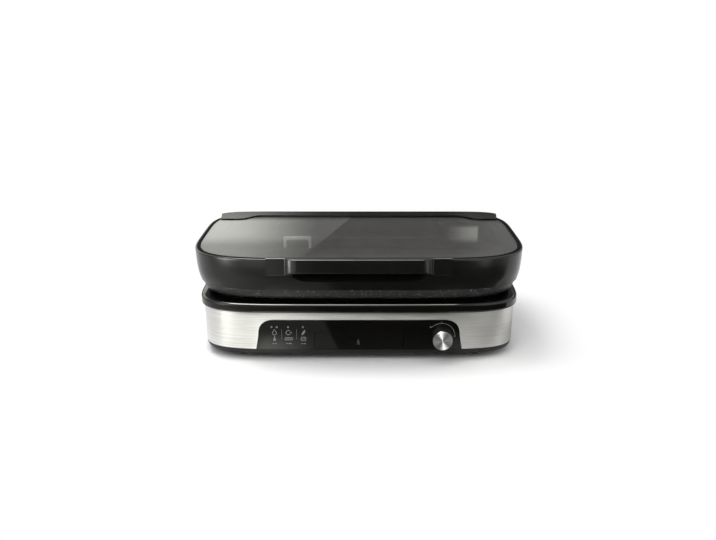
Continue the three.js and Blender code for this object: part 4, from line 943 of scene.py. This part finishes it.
def bandInset(height):
    share = (height - band["low"]) / (band["top"] - band["low"])
    return band["lowInset"] + share * (band["topInset"] - band["lowInset"])


def bandY(x, height):
    # the band's front face
    inset, power = bandInset(height), baseOutline["power"]
    share = abs(x) / (baseOutline["halfWidth"] - inset)
    return -(baseOutline["halfDepth"] - inset) * (1 - share ** power) ** (1 / power)


def panelOutline(grow, drop):
    top = band["low"] + panel["height"] + grow
    lean = (panel["bottomHalf"] - panel["topHalf"]) / panel["height"]
    half, corner = panel["topHalf"] + grow, panel["corner"]
    right = [(panel["bottomHalf"] + grow + lean * drop, band["low"] - drop),
             *bezier([(half, top - corner), (half, top), (half - corner, top)], 12)]
    return right + mirrored(right)


def makeRim():
    shapes = [lofted(baseOutline, softened(rim["profile"], 5), hoop=True)]
    for given in (posts, pads):
        low, top = given["low"], given["top"]
        for x, y in fourCorners(given["x"], given["y"]):
            shapes.append(rodShape("z", given["radius"], top - low, x, y, (low + top) / 2))
    piece = asObject("base_rim_ring", joined(*shapes))
    return finished(piece, "glossBlack", "base", "gloss_black", "base_rim")


def makeBand():
    low, top, wall = band["low"], band["top"], band["wall"]
    heights = [low + (top - low) * k / band["steps"] for k in range(band["steps"] + 1)]
    profile = [(bandInset(height), height) for height in heights]
    profile += [(band["topInset"] + wall, top), (band["lowInset"] + wall, low)]
    piece = asObject("steel_band_sheet", lofted(baseOutline, profile, hoop=True))
    combined(piece, prism(panelOutline(panel["gap"], beyond), *frontPart), "DIFFERENCE")
    drilled(piece, *gland)
    return finished(piece, "brushedSteel", "base", "brushed_steel", "steel_band")


def makePan():
    piece = asObject("bottom_pan", lofted(baseOutline, softened(pan["profile"])))
    for holeX, holeY, radius in pan["holes"]:
        for x, y in fourCorners(holeX, holeY):
            drilled(piece, radius, pan["holeLength"], x, y, pan["low"], "z")
    return finished(piece, "plainPlastic", "base", "black_plastic", "base_pan")


print("base shell made, open edges:", openEdges(makeRim(), makeBand(), makePan()))


# Control panel, drawer front, marks and lamps

drawer = {"half": 59.0, "low": 16.0, "top": 39.3, "gap": 0.6, "corner": 1.5, "thickness": 4.0, "back": 0.05,
          "mouthLow": 7.7}
lamps = {
    "places": (-117.0, -110.0, -95.0, -75.0), "height": 47.4, "hole": 1.7, "out": 0.75, "steps": 24,
    "profile": [(0.0, 0.0), (0.9, -0.05), (1.425, -0.2), (1.5, -0.5), (1.5, -12.0), (0.0, -12.0)],
}
knob = {"x": 111.0, "height": 33.5, "hole": 5.0}
panelHole = 20.0


def bandCore(inset):
    ends = (band["low"] - beyond, band["top"] + beyond)
    return lofted(baseOutline, [(bandInset(height) + inset, height) for height in ends])


def roundedPlan(x0, x1, z0, z1, radius, steps=5):
    return softened([(x0, z0, radius), (x1, z0, radius), (x1, z1, radius), (x0, z1, radius)], steps)


def makePanel():
    piece = asObject("panel_face", prism(panelOutline(0, 0), *frontPart))
    combined(piece, bandCore(-panel["proud"]), "INTERSECT")
    combined(piece, bandCore(panel["thickness"]), "DIFFERENCE")
    edge = drawer["half"] + drawer["gap"]
    mouth = roundedPlan(-edge, edge, drawer["mouthLow"], drawer["top"] + drawer["gap"], drawer["corner"])
    combined(piece, prism(mouth, *frontPart), "DIFFERENCE")
    for x in lamps["places"]:
        drilled(piece, lamps["hole"], panelHole, x, bandY(x, lamps["height"]), lamps["height"])
    x, z = knob["x"], knob["height"]
    drilled(piece, knob["hole"], panelHole, x, bandY(x, z), z, steps=48)
    bevelled(piece, panel["edge"])
    return finished(piece, "glossBlack", "base", "gloss_black", "control_panel")


def makeDrawerFront():
    plan = roundedPlan(-drawer["half"], drawer["half"], drawer["low"], drawer["top"], drawer["corner"])
    piece = asObject("drawer_front", prism(plan, *frontPart))
    combined(piece, bandCore(-panel["proud"] + drawer["back"]), "INTERSECT")
    combined(piece, bandCore(drawer["thickness"]), "DIFFERENCE")
    bevelled(piece, panel["edge"])
    return finished(piece, "glossBlack", "tray", "gloss_black", "drip_tray_front")


# printed marks, as flat bodies on the panel's face; points are (x, z)
marks = {
    "rise": 0.05, "sink": 0.12, "line": 0.9, "fine": 0.6,
    "columns": (-113.3, -94.0, -74.5), "rows": (39.6, 30.8, 24.0),
    # arcs are x, z, radius, start, end and steps, plans are x, x, z, z, radius and steps
    "dropTip": (0.0, 4.6), "dropArc": (0.0, -0.8, 2.6, 30, -210, 18),
    "ringArc": (-0.6, 0.0, 3.1, 40, 320, 26),
    "pointer": [(1.2, -0.4), (4.2, -0.4), (3.0, 1.4)],
    "leaf": [(2.6, 4.2), (2.4, 0.6), (0.2, -2.6), (-2.4, -3.8), (-2.2, -1.0), (0.2, 2.4)],
    "bottle": [(-1.6, -3.2), (1.6, -3.2), (1.8, -0.4), (0.7, 1.2), (0.6, 3.4), (-0.6, 3.4), (-0.7, 1.2),
               (-1.8, -0.4)],
    "tray": (-5.0, 5.0, -1.6, 1.6, 1.0, 4), "trayBars": (-2.5, 0.0, 2.5), "trayBar": (0.7, 2.0),
    "square": (-3.0, 3.0, -2.4, 2.4, 0.8, 4), "squareBar": (3.4, 0.8),
    "bars": ((2.4, 3.0), (3.0, 3.8), (2.6, 2.8)), "barHeight": 1.2, "barGap": 0.8,
    "dividers": (-103.6, -83.6), "dashes": 7, "dashTop": 43.6, "dashPitch": 2.1,
    "scalePlace": (110.4, 34.5), "scaleArc": (0.0, 0.0, 18.2, 137, 6, 60),
    "topTick": [(0.0, 18.8), (0.0, 20.8)], "endTick": [(16.4, 0.0), (19.4, 0.0)],
    "scaleDot": (-14.6, 13.0, 1.1, 0, 330, 11),
    "arrowX": -1.0, "arrowHead": [(-1.8, 27.2), (0.0, 25.2), (1.8, 27.2)],
    "arrowStem": [(0.0, 30.2), (0.0, 25.6)], "arrowBar": (23.4, 4.2, 0.8),
}


def markSection(points):
    return [(x, bandY(x, z) - panel["proud"] + depth, z) for x, z, depth in points]


def markRibbon(points, width, closed=False):
    count, out, sunk = len(points), -marks["rise"], marks["sink"]
    sections = []
    for i, (x, z) in enumerate(points):
        before = points[i - 1] if closed or i else points[0]
        after = points[(i + 1) % count] if closed or i < count - 1 else points[-1]
        along = (Vector(after) - Vector(before)).normalized() * width / 2
        left, right = (x - along.y, z + along.x), (x + along.y, z - along.x)
        corners = ((left, out), (left, sunk), (right, sunk), (right, out))
        sections.append(markSection([(*place, depth) for place, depth in corners]))
    return skinned(sections, closed)


def markPatch(outline):
    depths = (-marks["rise"], marks["sink"])
    return skinned([markSection([(x, z, depth) for x, z in outline]) for depth in depths])


def barPatch(x, z, width, height):
    return markPatch([(x - width / 2, z - height / 2), (x + width / 2, z - height / 2),
                      (x + width / 2, z + height / 2), (x - width / 2, z + height / 2)])


def arcPoints(x, z, radius, start, end, steps):
    turns = [math.radians(start + (end - start) * k / steps) for k in range(steps + 1)]
    return [(x + radius * math.cos(t), z + radius * math.sin(t)) for t in turns]


def around(x, z, points):
    return [(x + px, z + pz) for px, pz in points]


def makeMarks():
    left, middle, right = marks["columns"]
    first, second, third = marks["rows"]
    line, fine, bar = marks["line"], marks["fine"], marks["barHeight"]
    shapes = [
        # a drop, an open ring with a pointer, a leaf
        markRibbon(around(left, first, [marks["dropTip"], *arcPoints(*marks["dropArc"])]), line, True),
        markRibbon(around(middle, first, arcPoints(*marks["ringArc"])), line),
        markRibbon(around(middle, first, marks["pointer"]), line),
        markPatch(around(right, first, marks["leaf"])),
        # a bottle, a tray, a square
        markPatch(around(left, second, marks["bottle"])),
        markRibbon(around(middle, second, roundedPlan(*marks["tray"])), line, True),
        *[barPatch(middle + step, second, *marks["trayBar"]) for step in marks["trayBars"]],
        markRibbon(around(right, second, roundedPlan(*marks["square"])), line, True),
        barPatch(right, second, *marks["squareBar"]),
    ]
    # plain bars in place of words
    for column, widths in zip(marks["columns"], marks["bars"]):
        start = column - (sum(widths) + marks["barGap"]) / 2
        for width in widths:
            shapes.append(barPatch(start + width / 2, third, width, bar))
            start += width + marks["barGap"]
    # dashed dividers between the columns
    for x in marks["dividers"]:
        for k in range(marks["dashes"]):
            shapes.append(barPatch(x, marks["dashTop"] - marks["dashPitch"] * k, fine, bar))
    # scale round the knob, with a tick at its top, one at its end and a dot
    place = marks["scalePlace"]
    shapes += [
        markRibbon(around(*place, arcPoints(*marks["scaleArc"])), fine),
        markRibbon(around(*place, marks["topTick"]), fine),
        markRibbon(around(*place, marks["endTick"]), line),
        markPatch(around(*place, arcPoints(*marks["scaleDot"]))),
    ]
    return finished(asObject("panel_marks", joined(*shapes)), "panelPrint", "base", "light_plastic")


def makeDrawerMark():
    x = marks["arrowX"]
    lines = [markRibbon(around(x, 0.0, marks[name]), marks["line"]) for name in ("arrowStem", "arrowHead")]
    arrow = joined(*lines, barPatch(x, *marks["arrowBar"]))
    return finished(asObject("drawer_mark", arrow), "drawerPrint", "tray", "light_plastic")


def makeLamps():
    lens = moved(turnedShape(lamps["profile"], lamps["steps"]), Matrix.Rotation(math.pi / 2, 4, "X"))
    shapes = []
    for x in lamps["places"]:
        front = bandY(x, lamps["height"]) - lamps["out"]
        shapes.append(moved(lens, Matrix.Translation((x, front, lamps["height"]))))
    piece = asObject("lamp_lenses", joined(*shapes))
    return finished(piece, "lampLens", "base", "lamp_lens", *["status_lens_%d" % n for n in (1, 2, 3, 4)])


print("panel made, open edges:", openEdges(makePanel(), makeDrawerFront(), makeMarks(), makeDrawerMark(),
                                           makeLamps()))


# Knob

knobShape = {
    "body": [(0, 13), (3.35, 13), (3.35, 2.5), (6, 2.5), (6, 10.5), (12.2, 10.5), (13.3, 1.5),
             (15.0, 1.5, 0.2), (15.2, 2.0, 0.3), (15.05, 3.2, 0.5), (13.9, 16.0, 0.9), (13.2, 16.65, 0.2),
             (13.1, 15.3), (0, 15.3)],
    "cap": [(0, 15.4), (12.6, 15.4), (12.95, 15.7), (12.95, 16.75, 0.2), (12.5, 17.0, 0.3), (0, 16.85)],
    "steps": 128,
}


def onKnobAxis(profile):
    place = Matrix.Translation((knob["x"], bandY(knob["x"], knob["height"]), knob["height"]))
    place = place @ Matrix.Rotation(math.pi / 2 + knobTilt, 4, "X")
    return moved(turnedShape(profile, knobShape["steps"]), place)


knobBody = asObject("knob_shell", onKnobAxis(softened(knobShape["body"], 5)))
finished(knobBody, "lidPlastic", "knob", "black_plastic", "knob_body")
knobCap = asObject("knob_disc", onKnobAxis(softened(knobShape["cap"])))
finished(knobCap, "spunMetal", "knob", "spun_metal", "knob_cap")
print("knob made, open edges:", openEdges(knobBody, knobCap))


# Geometry Nodes tools

def geometryGroup(name, floats, counts, vectors):
    # a group, the wires of its named inputs and their identifiers
    tree = bpy.data.node_groups.new(name, "GeometryNodeTree")
    tree.interface.new_socket("Geometry", in_out="INPUT", socket_type="NodeSocketGeometry")
    tree.interface.new_socket("Geometry", in_out="OUTPUT", socket_type="NodeSocketGeometry")
    sockets = {}
    for kind, labels in (("Float", floats), ("Int", counts), ("Vector", vectors)):
        for label in labels:
            socket = tree.interface.new_socket(label, in_out="INPUT", socket_type="NodeSocket" + kind)
            sockets[label] = socket.identifier
    return tree, wiresOf(tree, "NodeGroupInput"), sockets


def endGeometry(tree, instances, finish):
    real = outOf(tree, "GeometryNodeRealizeInstances", {0: instances})
    painted = outOf(tree, "GeometryNodeSetMaterial", {"Geometry": real, "Material": finish})
    addNode(tree, "NodeGroupOutput", {0: painted})


def grown(name, tree, sockets, values):
    piece = asObject(name, ([(0, 0, 0)], []))
    modifier = piece.modifiers.new("nodes", "NODES")
    modifier.node_group = tree
    for label, value in values.items():
        modifier[sockets[label]] = value
    return applyModifiers(piece)


def inMetres(sizes):
    return {label: size * mm for label, size in sizes.items()}


def onAxis(tree, axis, value):
    return outOf(tree, "ShaderNodeCombineXYZ", {axis: value})


# Cast plate and its ribs

plate = {
    "profile": [(31, 82.5), (31, 84.3), (20, 84.3, 0.4), (15.2, 85.2, 1.0), (12.2, 87.4, 2.0),
                (10.2, 91.0, 4.0), (8.6, 98.0, 1.2), (9.4, 99, 0.7), (12.5, 99, 0.7), (23, 88.5, 1.5),
                (27, 86, 1.2), (36, 86, 1.0), (39, 88.5)],
    "drainY": -101.0, "bore": 5.0, "boreLength": 40.0, "boreMiddle": 82.0, "spout": 7.5, "spoutLow": 73.5,
    "spoutTop": 84.0, "roundSteps": 48,
    "wellHalf": 15.0, "wellFront": -123.5, "wellCorner": 4, "gutter": 86.0,
}
rib = {"sizes": {"Pitch": 15.0, "Half Length": 98.0, "Low Width": 5.0, "Top Width": 3.4, "Round": 0.8},
       "count": 13, "first": -178.0, "face": 88.5, "height": 3.0, "sunk": 0.4, "roundSteps": 3}


def makePlate():
    piece = asObject("cast_plate", lofted(lidOutline, softened(plate["profile"])))
    low, top, y, steps = plate["spoutLow"], plate["spoutTop"], plate["drainY"], plate["roundSteps"]
    combined(piece, rodShape("z", plate["spout"], top - low, 0, y, (low + top) / 2, steps), "UNION")
    well = roundedPlan(-plate["wellHalf"], plate["wellHalf"], plate["wellFront"], y + plate["spout"],
                       plate["wellCorner"])
    combined(piece, prism(well, plate["gutter"], rib["face"] + beyond, "z"), "DIFFERENCE")
    drilled(piece, plate["bore"], plate["boreLength"], 0, y, plate["boreMiddle"], "z", steps)
    return finished(piece, "castCoating", "base", "cast_coating", "grill_plate")


def ribTree():
    # a rounded trapezoid section swept along a line, repeated at an even pitch
    tree, given, sockets = geometryGroup(
        "plateRibs", ("Pitch", "Half Length", "Low Width", "Top Width", "Height", "Round"), ("Count",),
        ("Start",))
    half = given["Half Length"]
    axis = outOf(tree, "GeometryNodeCurvePrimitiveLine", {
        "Start": onAxis(tree, "Y", half * -1.0), "End": onAxis(tree, "Y", half)})
    section = outOf(tree, "GeometryNodeCurvePrimitiveQuadrilateral", {
        "Bottom Width": given["Low Width"], "Top Width": given["Top Width"], "Height": given["Height"],
        "Offset": 0.0}, mode="TRAPEZOID")
    section = outOf(tree, "GeometryNodeFilletCurve", {
        "Curve": section, "Radius": given["Round"], "Count": rib["roundSteps"]}, mode="POLY")
    sweep = outOf(tree, "GeometryNodeCurveToMesh", {
        "Curve": axis, "Profile Curve": section, "Fill Caps": True})
    points = outOf(tree, "GeometryNodeMeshLine", {
        "Count": given["Count"], "Start Location": given["Start"],
        "Offset": onAxis(tree, "X", given["Pitch"])})
    instances = outOf(tree, "GeometryNodeInstanceOnPoints", {"Points": points, "Instance": sweep})
    endGeometry(tree, instances, finishes["castCoating"])
    return tree, sockets


def makeRibs():
    height = rib["height"] + rib["sunk"]
    values = {
        **inMetres(rib["sizes"]), "Height": height * mm, "Count": rib["count"],
        "Start": placed(rib["first"], 0.0, rib["face"] + rib["height"] - height / 2),
    }
    return finished(grown("plate_ribs", *ribTree(), values), "castCoating", "base", "cast_coating")


print("plate made, open edges:", openEdges(makePlate(), makeRibs()))


# Lift tab: a flat steel loop that stands in the plate's rear gutter

tab = {
    "outline": [(-121.0, 86.3), (-116.0, 86.3), (-116.0, 100.3, 2.0), (-81.0, 100.3, 2.0), (-81.0, 86.3),
                (-76.0, 86.3), (-76.0, 106.3, 4.0), (-121.0, 106.3, 4.0)],
    "front": 121.95, "back": 124.95, "edge": 1.4,
}


def makeTab():
    piece = asObject("lift_tab", prism(softened(tab["outline"], 6), tab["front"], tab["back"], "y"))
    bevelled(piece, tab["edge"], 4)
    return finished(piece, "tabSteelPaintedBright", "base", "plain_steel", "plate_lift_tab")


print("lift tab made, open edges:", openEdges(makeTab()))


# Screws: cross-slotted heads set out on a grid

fourEnds = [end + side for end in ("front_", "rear_") for side in ("left", "right")]
bigScrew = {"Head Radius": 3.8, "Head Height": 2.0, "Shank Radius": 1.8}
screwSets = {
    "base_screws": {
        "body": "base", "place": (182.0, -115.05, 4.9), "rows": 2, "rowStep": 230.0, "turn": math.pi,
        "sizes": {**bigScrew, "Length": 16.3}, "nodes": ["base_screw_" + corner for corner in fourEnds],
    },
    "arm_screws": {
        "body": "lid", "place": (130.0, 160.45, 121.3), "rows": 1, "rowStep": 0.0, "turn": -math.pi / 2,
        "sizes": {**bigScrew, "Length": 12.0}, "nodes": ["arm_screw_left", "arm_screw_right"],
    },
    "grip_screws": {
        "body": "lid", "place": (97.0, -146.35, 130.0), "rows": 1, "rowStep": 0.0, "turn": -math.pi / 2,
        "sizes": {"Head Radius": 3.0, "Head Height": 1.5, "Shank Radius": 1.5, "Length": 7.0},
        "nodes": ["grip_screw_left", "grip_screw_right"],
    },
}
# the slots' width and reach are shares of the head's radius, and their depth is a share of its height
slot = {"width": 0.28, "depth": 0.55, "reach": 1.2, "edge": 0.25, "headSides": 40, "shankSides": 24}


def screwTree():
    # a screw with its head's top at the origin, pointing down, repeated in rows and columns
    tree, given, sockets = geometryGroup(
        "crossScrews", ("Head Radius", "Head Height", "Shank Radius", "Length", "Slot Width", "Slot Depth"),
        ("Columns", "Rows"), ("Column Step", "Row Step", "First", "Turn"))

    def cylinder(radius, depth, middle, vertices):
        shape = outOf(tree, "GeometryNodeMeshCylinder", {
            "Vertices": vertices, "Radius": radius, "Depth": depth})
        return outOf(tree, "GeometryNodeTransform", {0: shape, "Translation": onAxis(tree, "Z", middle)})

    half = given["Head Height"] * 0.5
    head = cylinder(given["Head Radius"], given["Head Height"], half * -1.0, slot["headSides"])
    shank = cylinder(given["Shank Radius"], given["Length"] - half, (given["Length"] + half) * -0.5,
                     slot["shankSides"])
    whole = addNode(tree, "GeometryNodeMeshBoolean", {1: head}, operation="UNION", solver="EXACT")
    plug(shank, whole.inputs[1])
    cut = addNode(tree, "GeometryNodeMeshBoolean", {
        0: Wire(tree, whole.outputs[0]), "Self Intersection": True}, operation="DIFFERENCE", solver="EXACT")
    across, narrow = given["Head Radius"] * slot["reach"], given["Slot Width"]
    for x, y in ((across, narrow), (narrow, across)):
        size = outOf(tree, "ShaderNodeCombineXYZ", {"X": x, "Y": y, "Z": given["Slot Depth"] * 2.0})
        plug(outOf(tree, "GeometryNodeMeshCube", {"Size": size}), cut.inputs[1])
    columns = outOf(tree, "GeometryNodeMeshLine", {
        "Count": given["Columns"], "Offset": given["Column Step"]})
    rows = outOf(tree, "GeometryNodeMeshLine", {"Count": given["Rows"], "Offset": given["Row Step"],
                                                "Start Location": given["First"]})
    turn = outOf(tree, "FunctionNodeEulerToRotation", {0: given["Turn"]})
    row = outOf(tree, "GeometryNodeInstanceOnPoints", {
        "Points": columns, "Instance": Wire(tree, cut.outputs[0]), "Rotation": turn})
    instances = outOf(tree, "GeometryNodeInstanceOnPoints", {"Points": rows, "Instance": row})
    endGeometry(tree, instances, finishes["plainSteel"])
    return tree, sockets


def makeScrews(name, group, given):
    sizes, (x, y, z) = inMetres(given["sizes"]), given["place"]
    values = {
        **sizes, "Slot Width": slot["width"] * sizes["Head Radius"],
        "Slot Depth": slot["depth"] * sizes["Head Height"], "Columns": 2, "Rows": given["rows"],
        "Column Step": (2 * x * mm, 0.0, 0.0), "Row Step": (0.0, given["rowStep"] * mm, 0.0),
        "First": placed(-x, y, z), "Turn": (given["turn"], 0.0, 0.0),
    }
    piece = bevelled(grown(name, *group, values), slot["edge"])
    return finished(piece, "plainSteel", given["body"], "plain_steel", *given["nodes"])


screwGroup = screwTree()
print("screws made, open edges:", openEdges(*[makeScrews(name, screwGroup, given)
                                              for name, given in screwSets.items()]))


# Feet

foot = {
    "profile": [(0, 0), (7.4, 0, 0.4), (8.8, 0.5, 0.5), (9.0, 2.0, 0.5), (9.0, 6.4, 0.5), (8.4, 7.15),
                (3.0, 7.15), (3.0, 10.5, 0.4), (0, 10.5)],
    "x": 158.0, "y": 112.0,
}


def makeFeet():
    shape = turnedShape(softened(foot["profile"]), 48)
    shapes = [moved(shape, Matrix.Translation((x, y, 0))) for x, y in fourCorners(foot["x"], foot["y"])]
    piece = asObject("rubber_feet", joined(*shapes))
    return finished(piece, "footRubber", "base", "foot_rubber", *["foot_" + corner for corner in fourEnds])


print("feet made, open edges:", openEdges(makeFeet()))
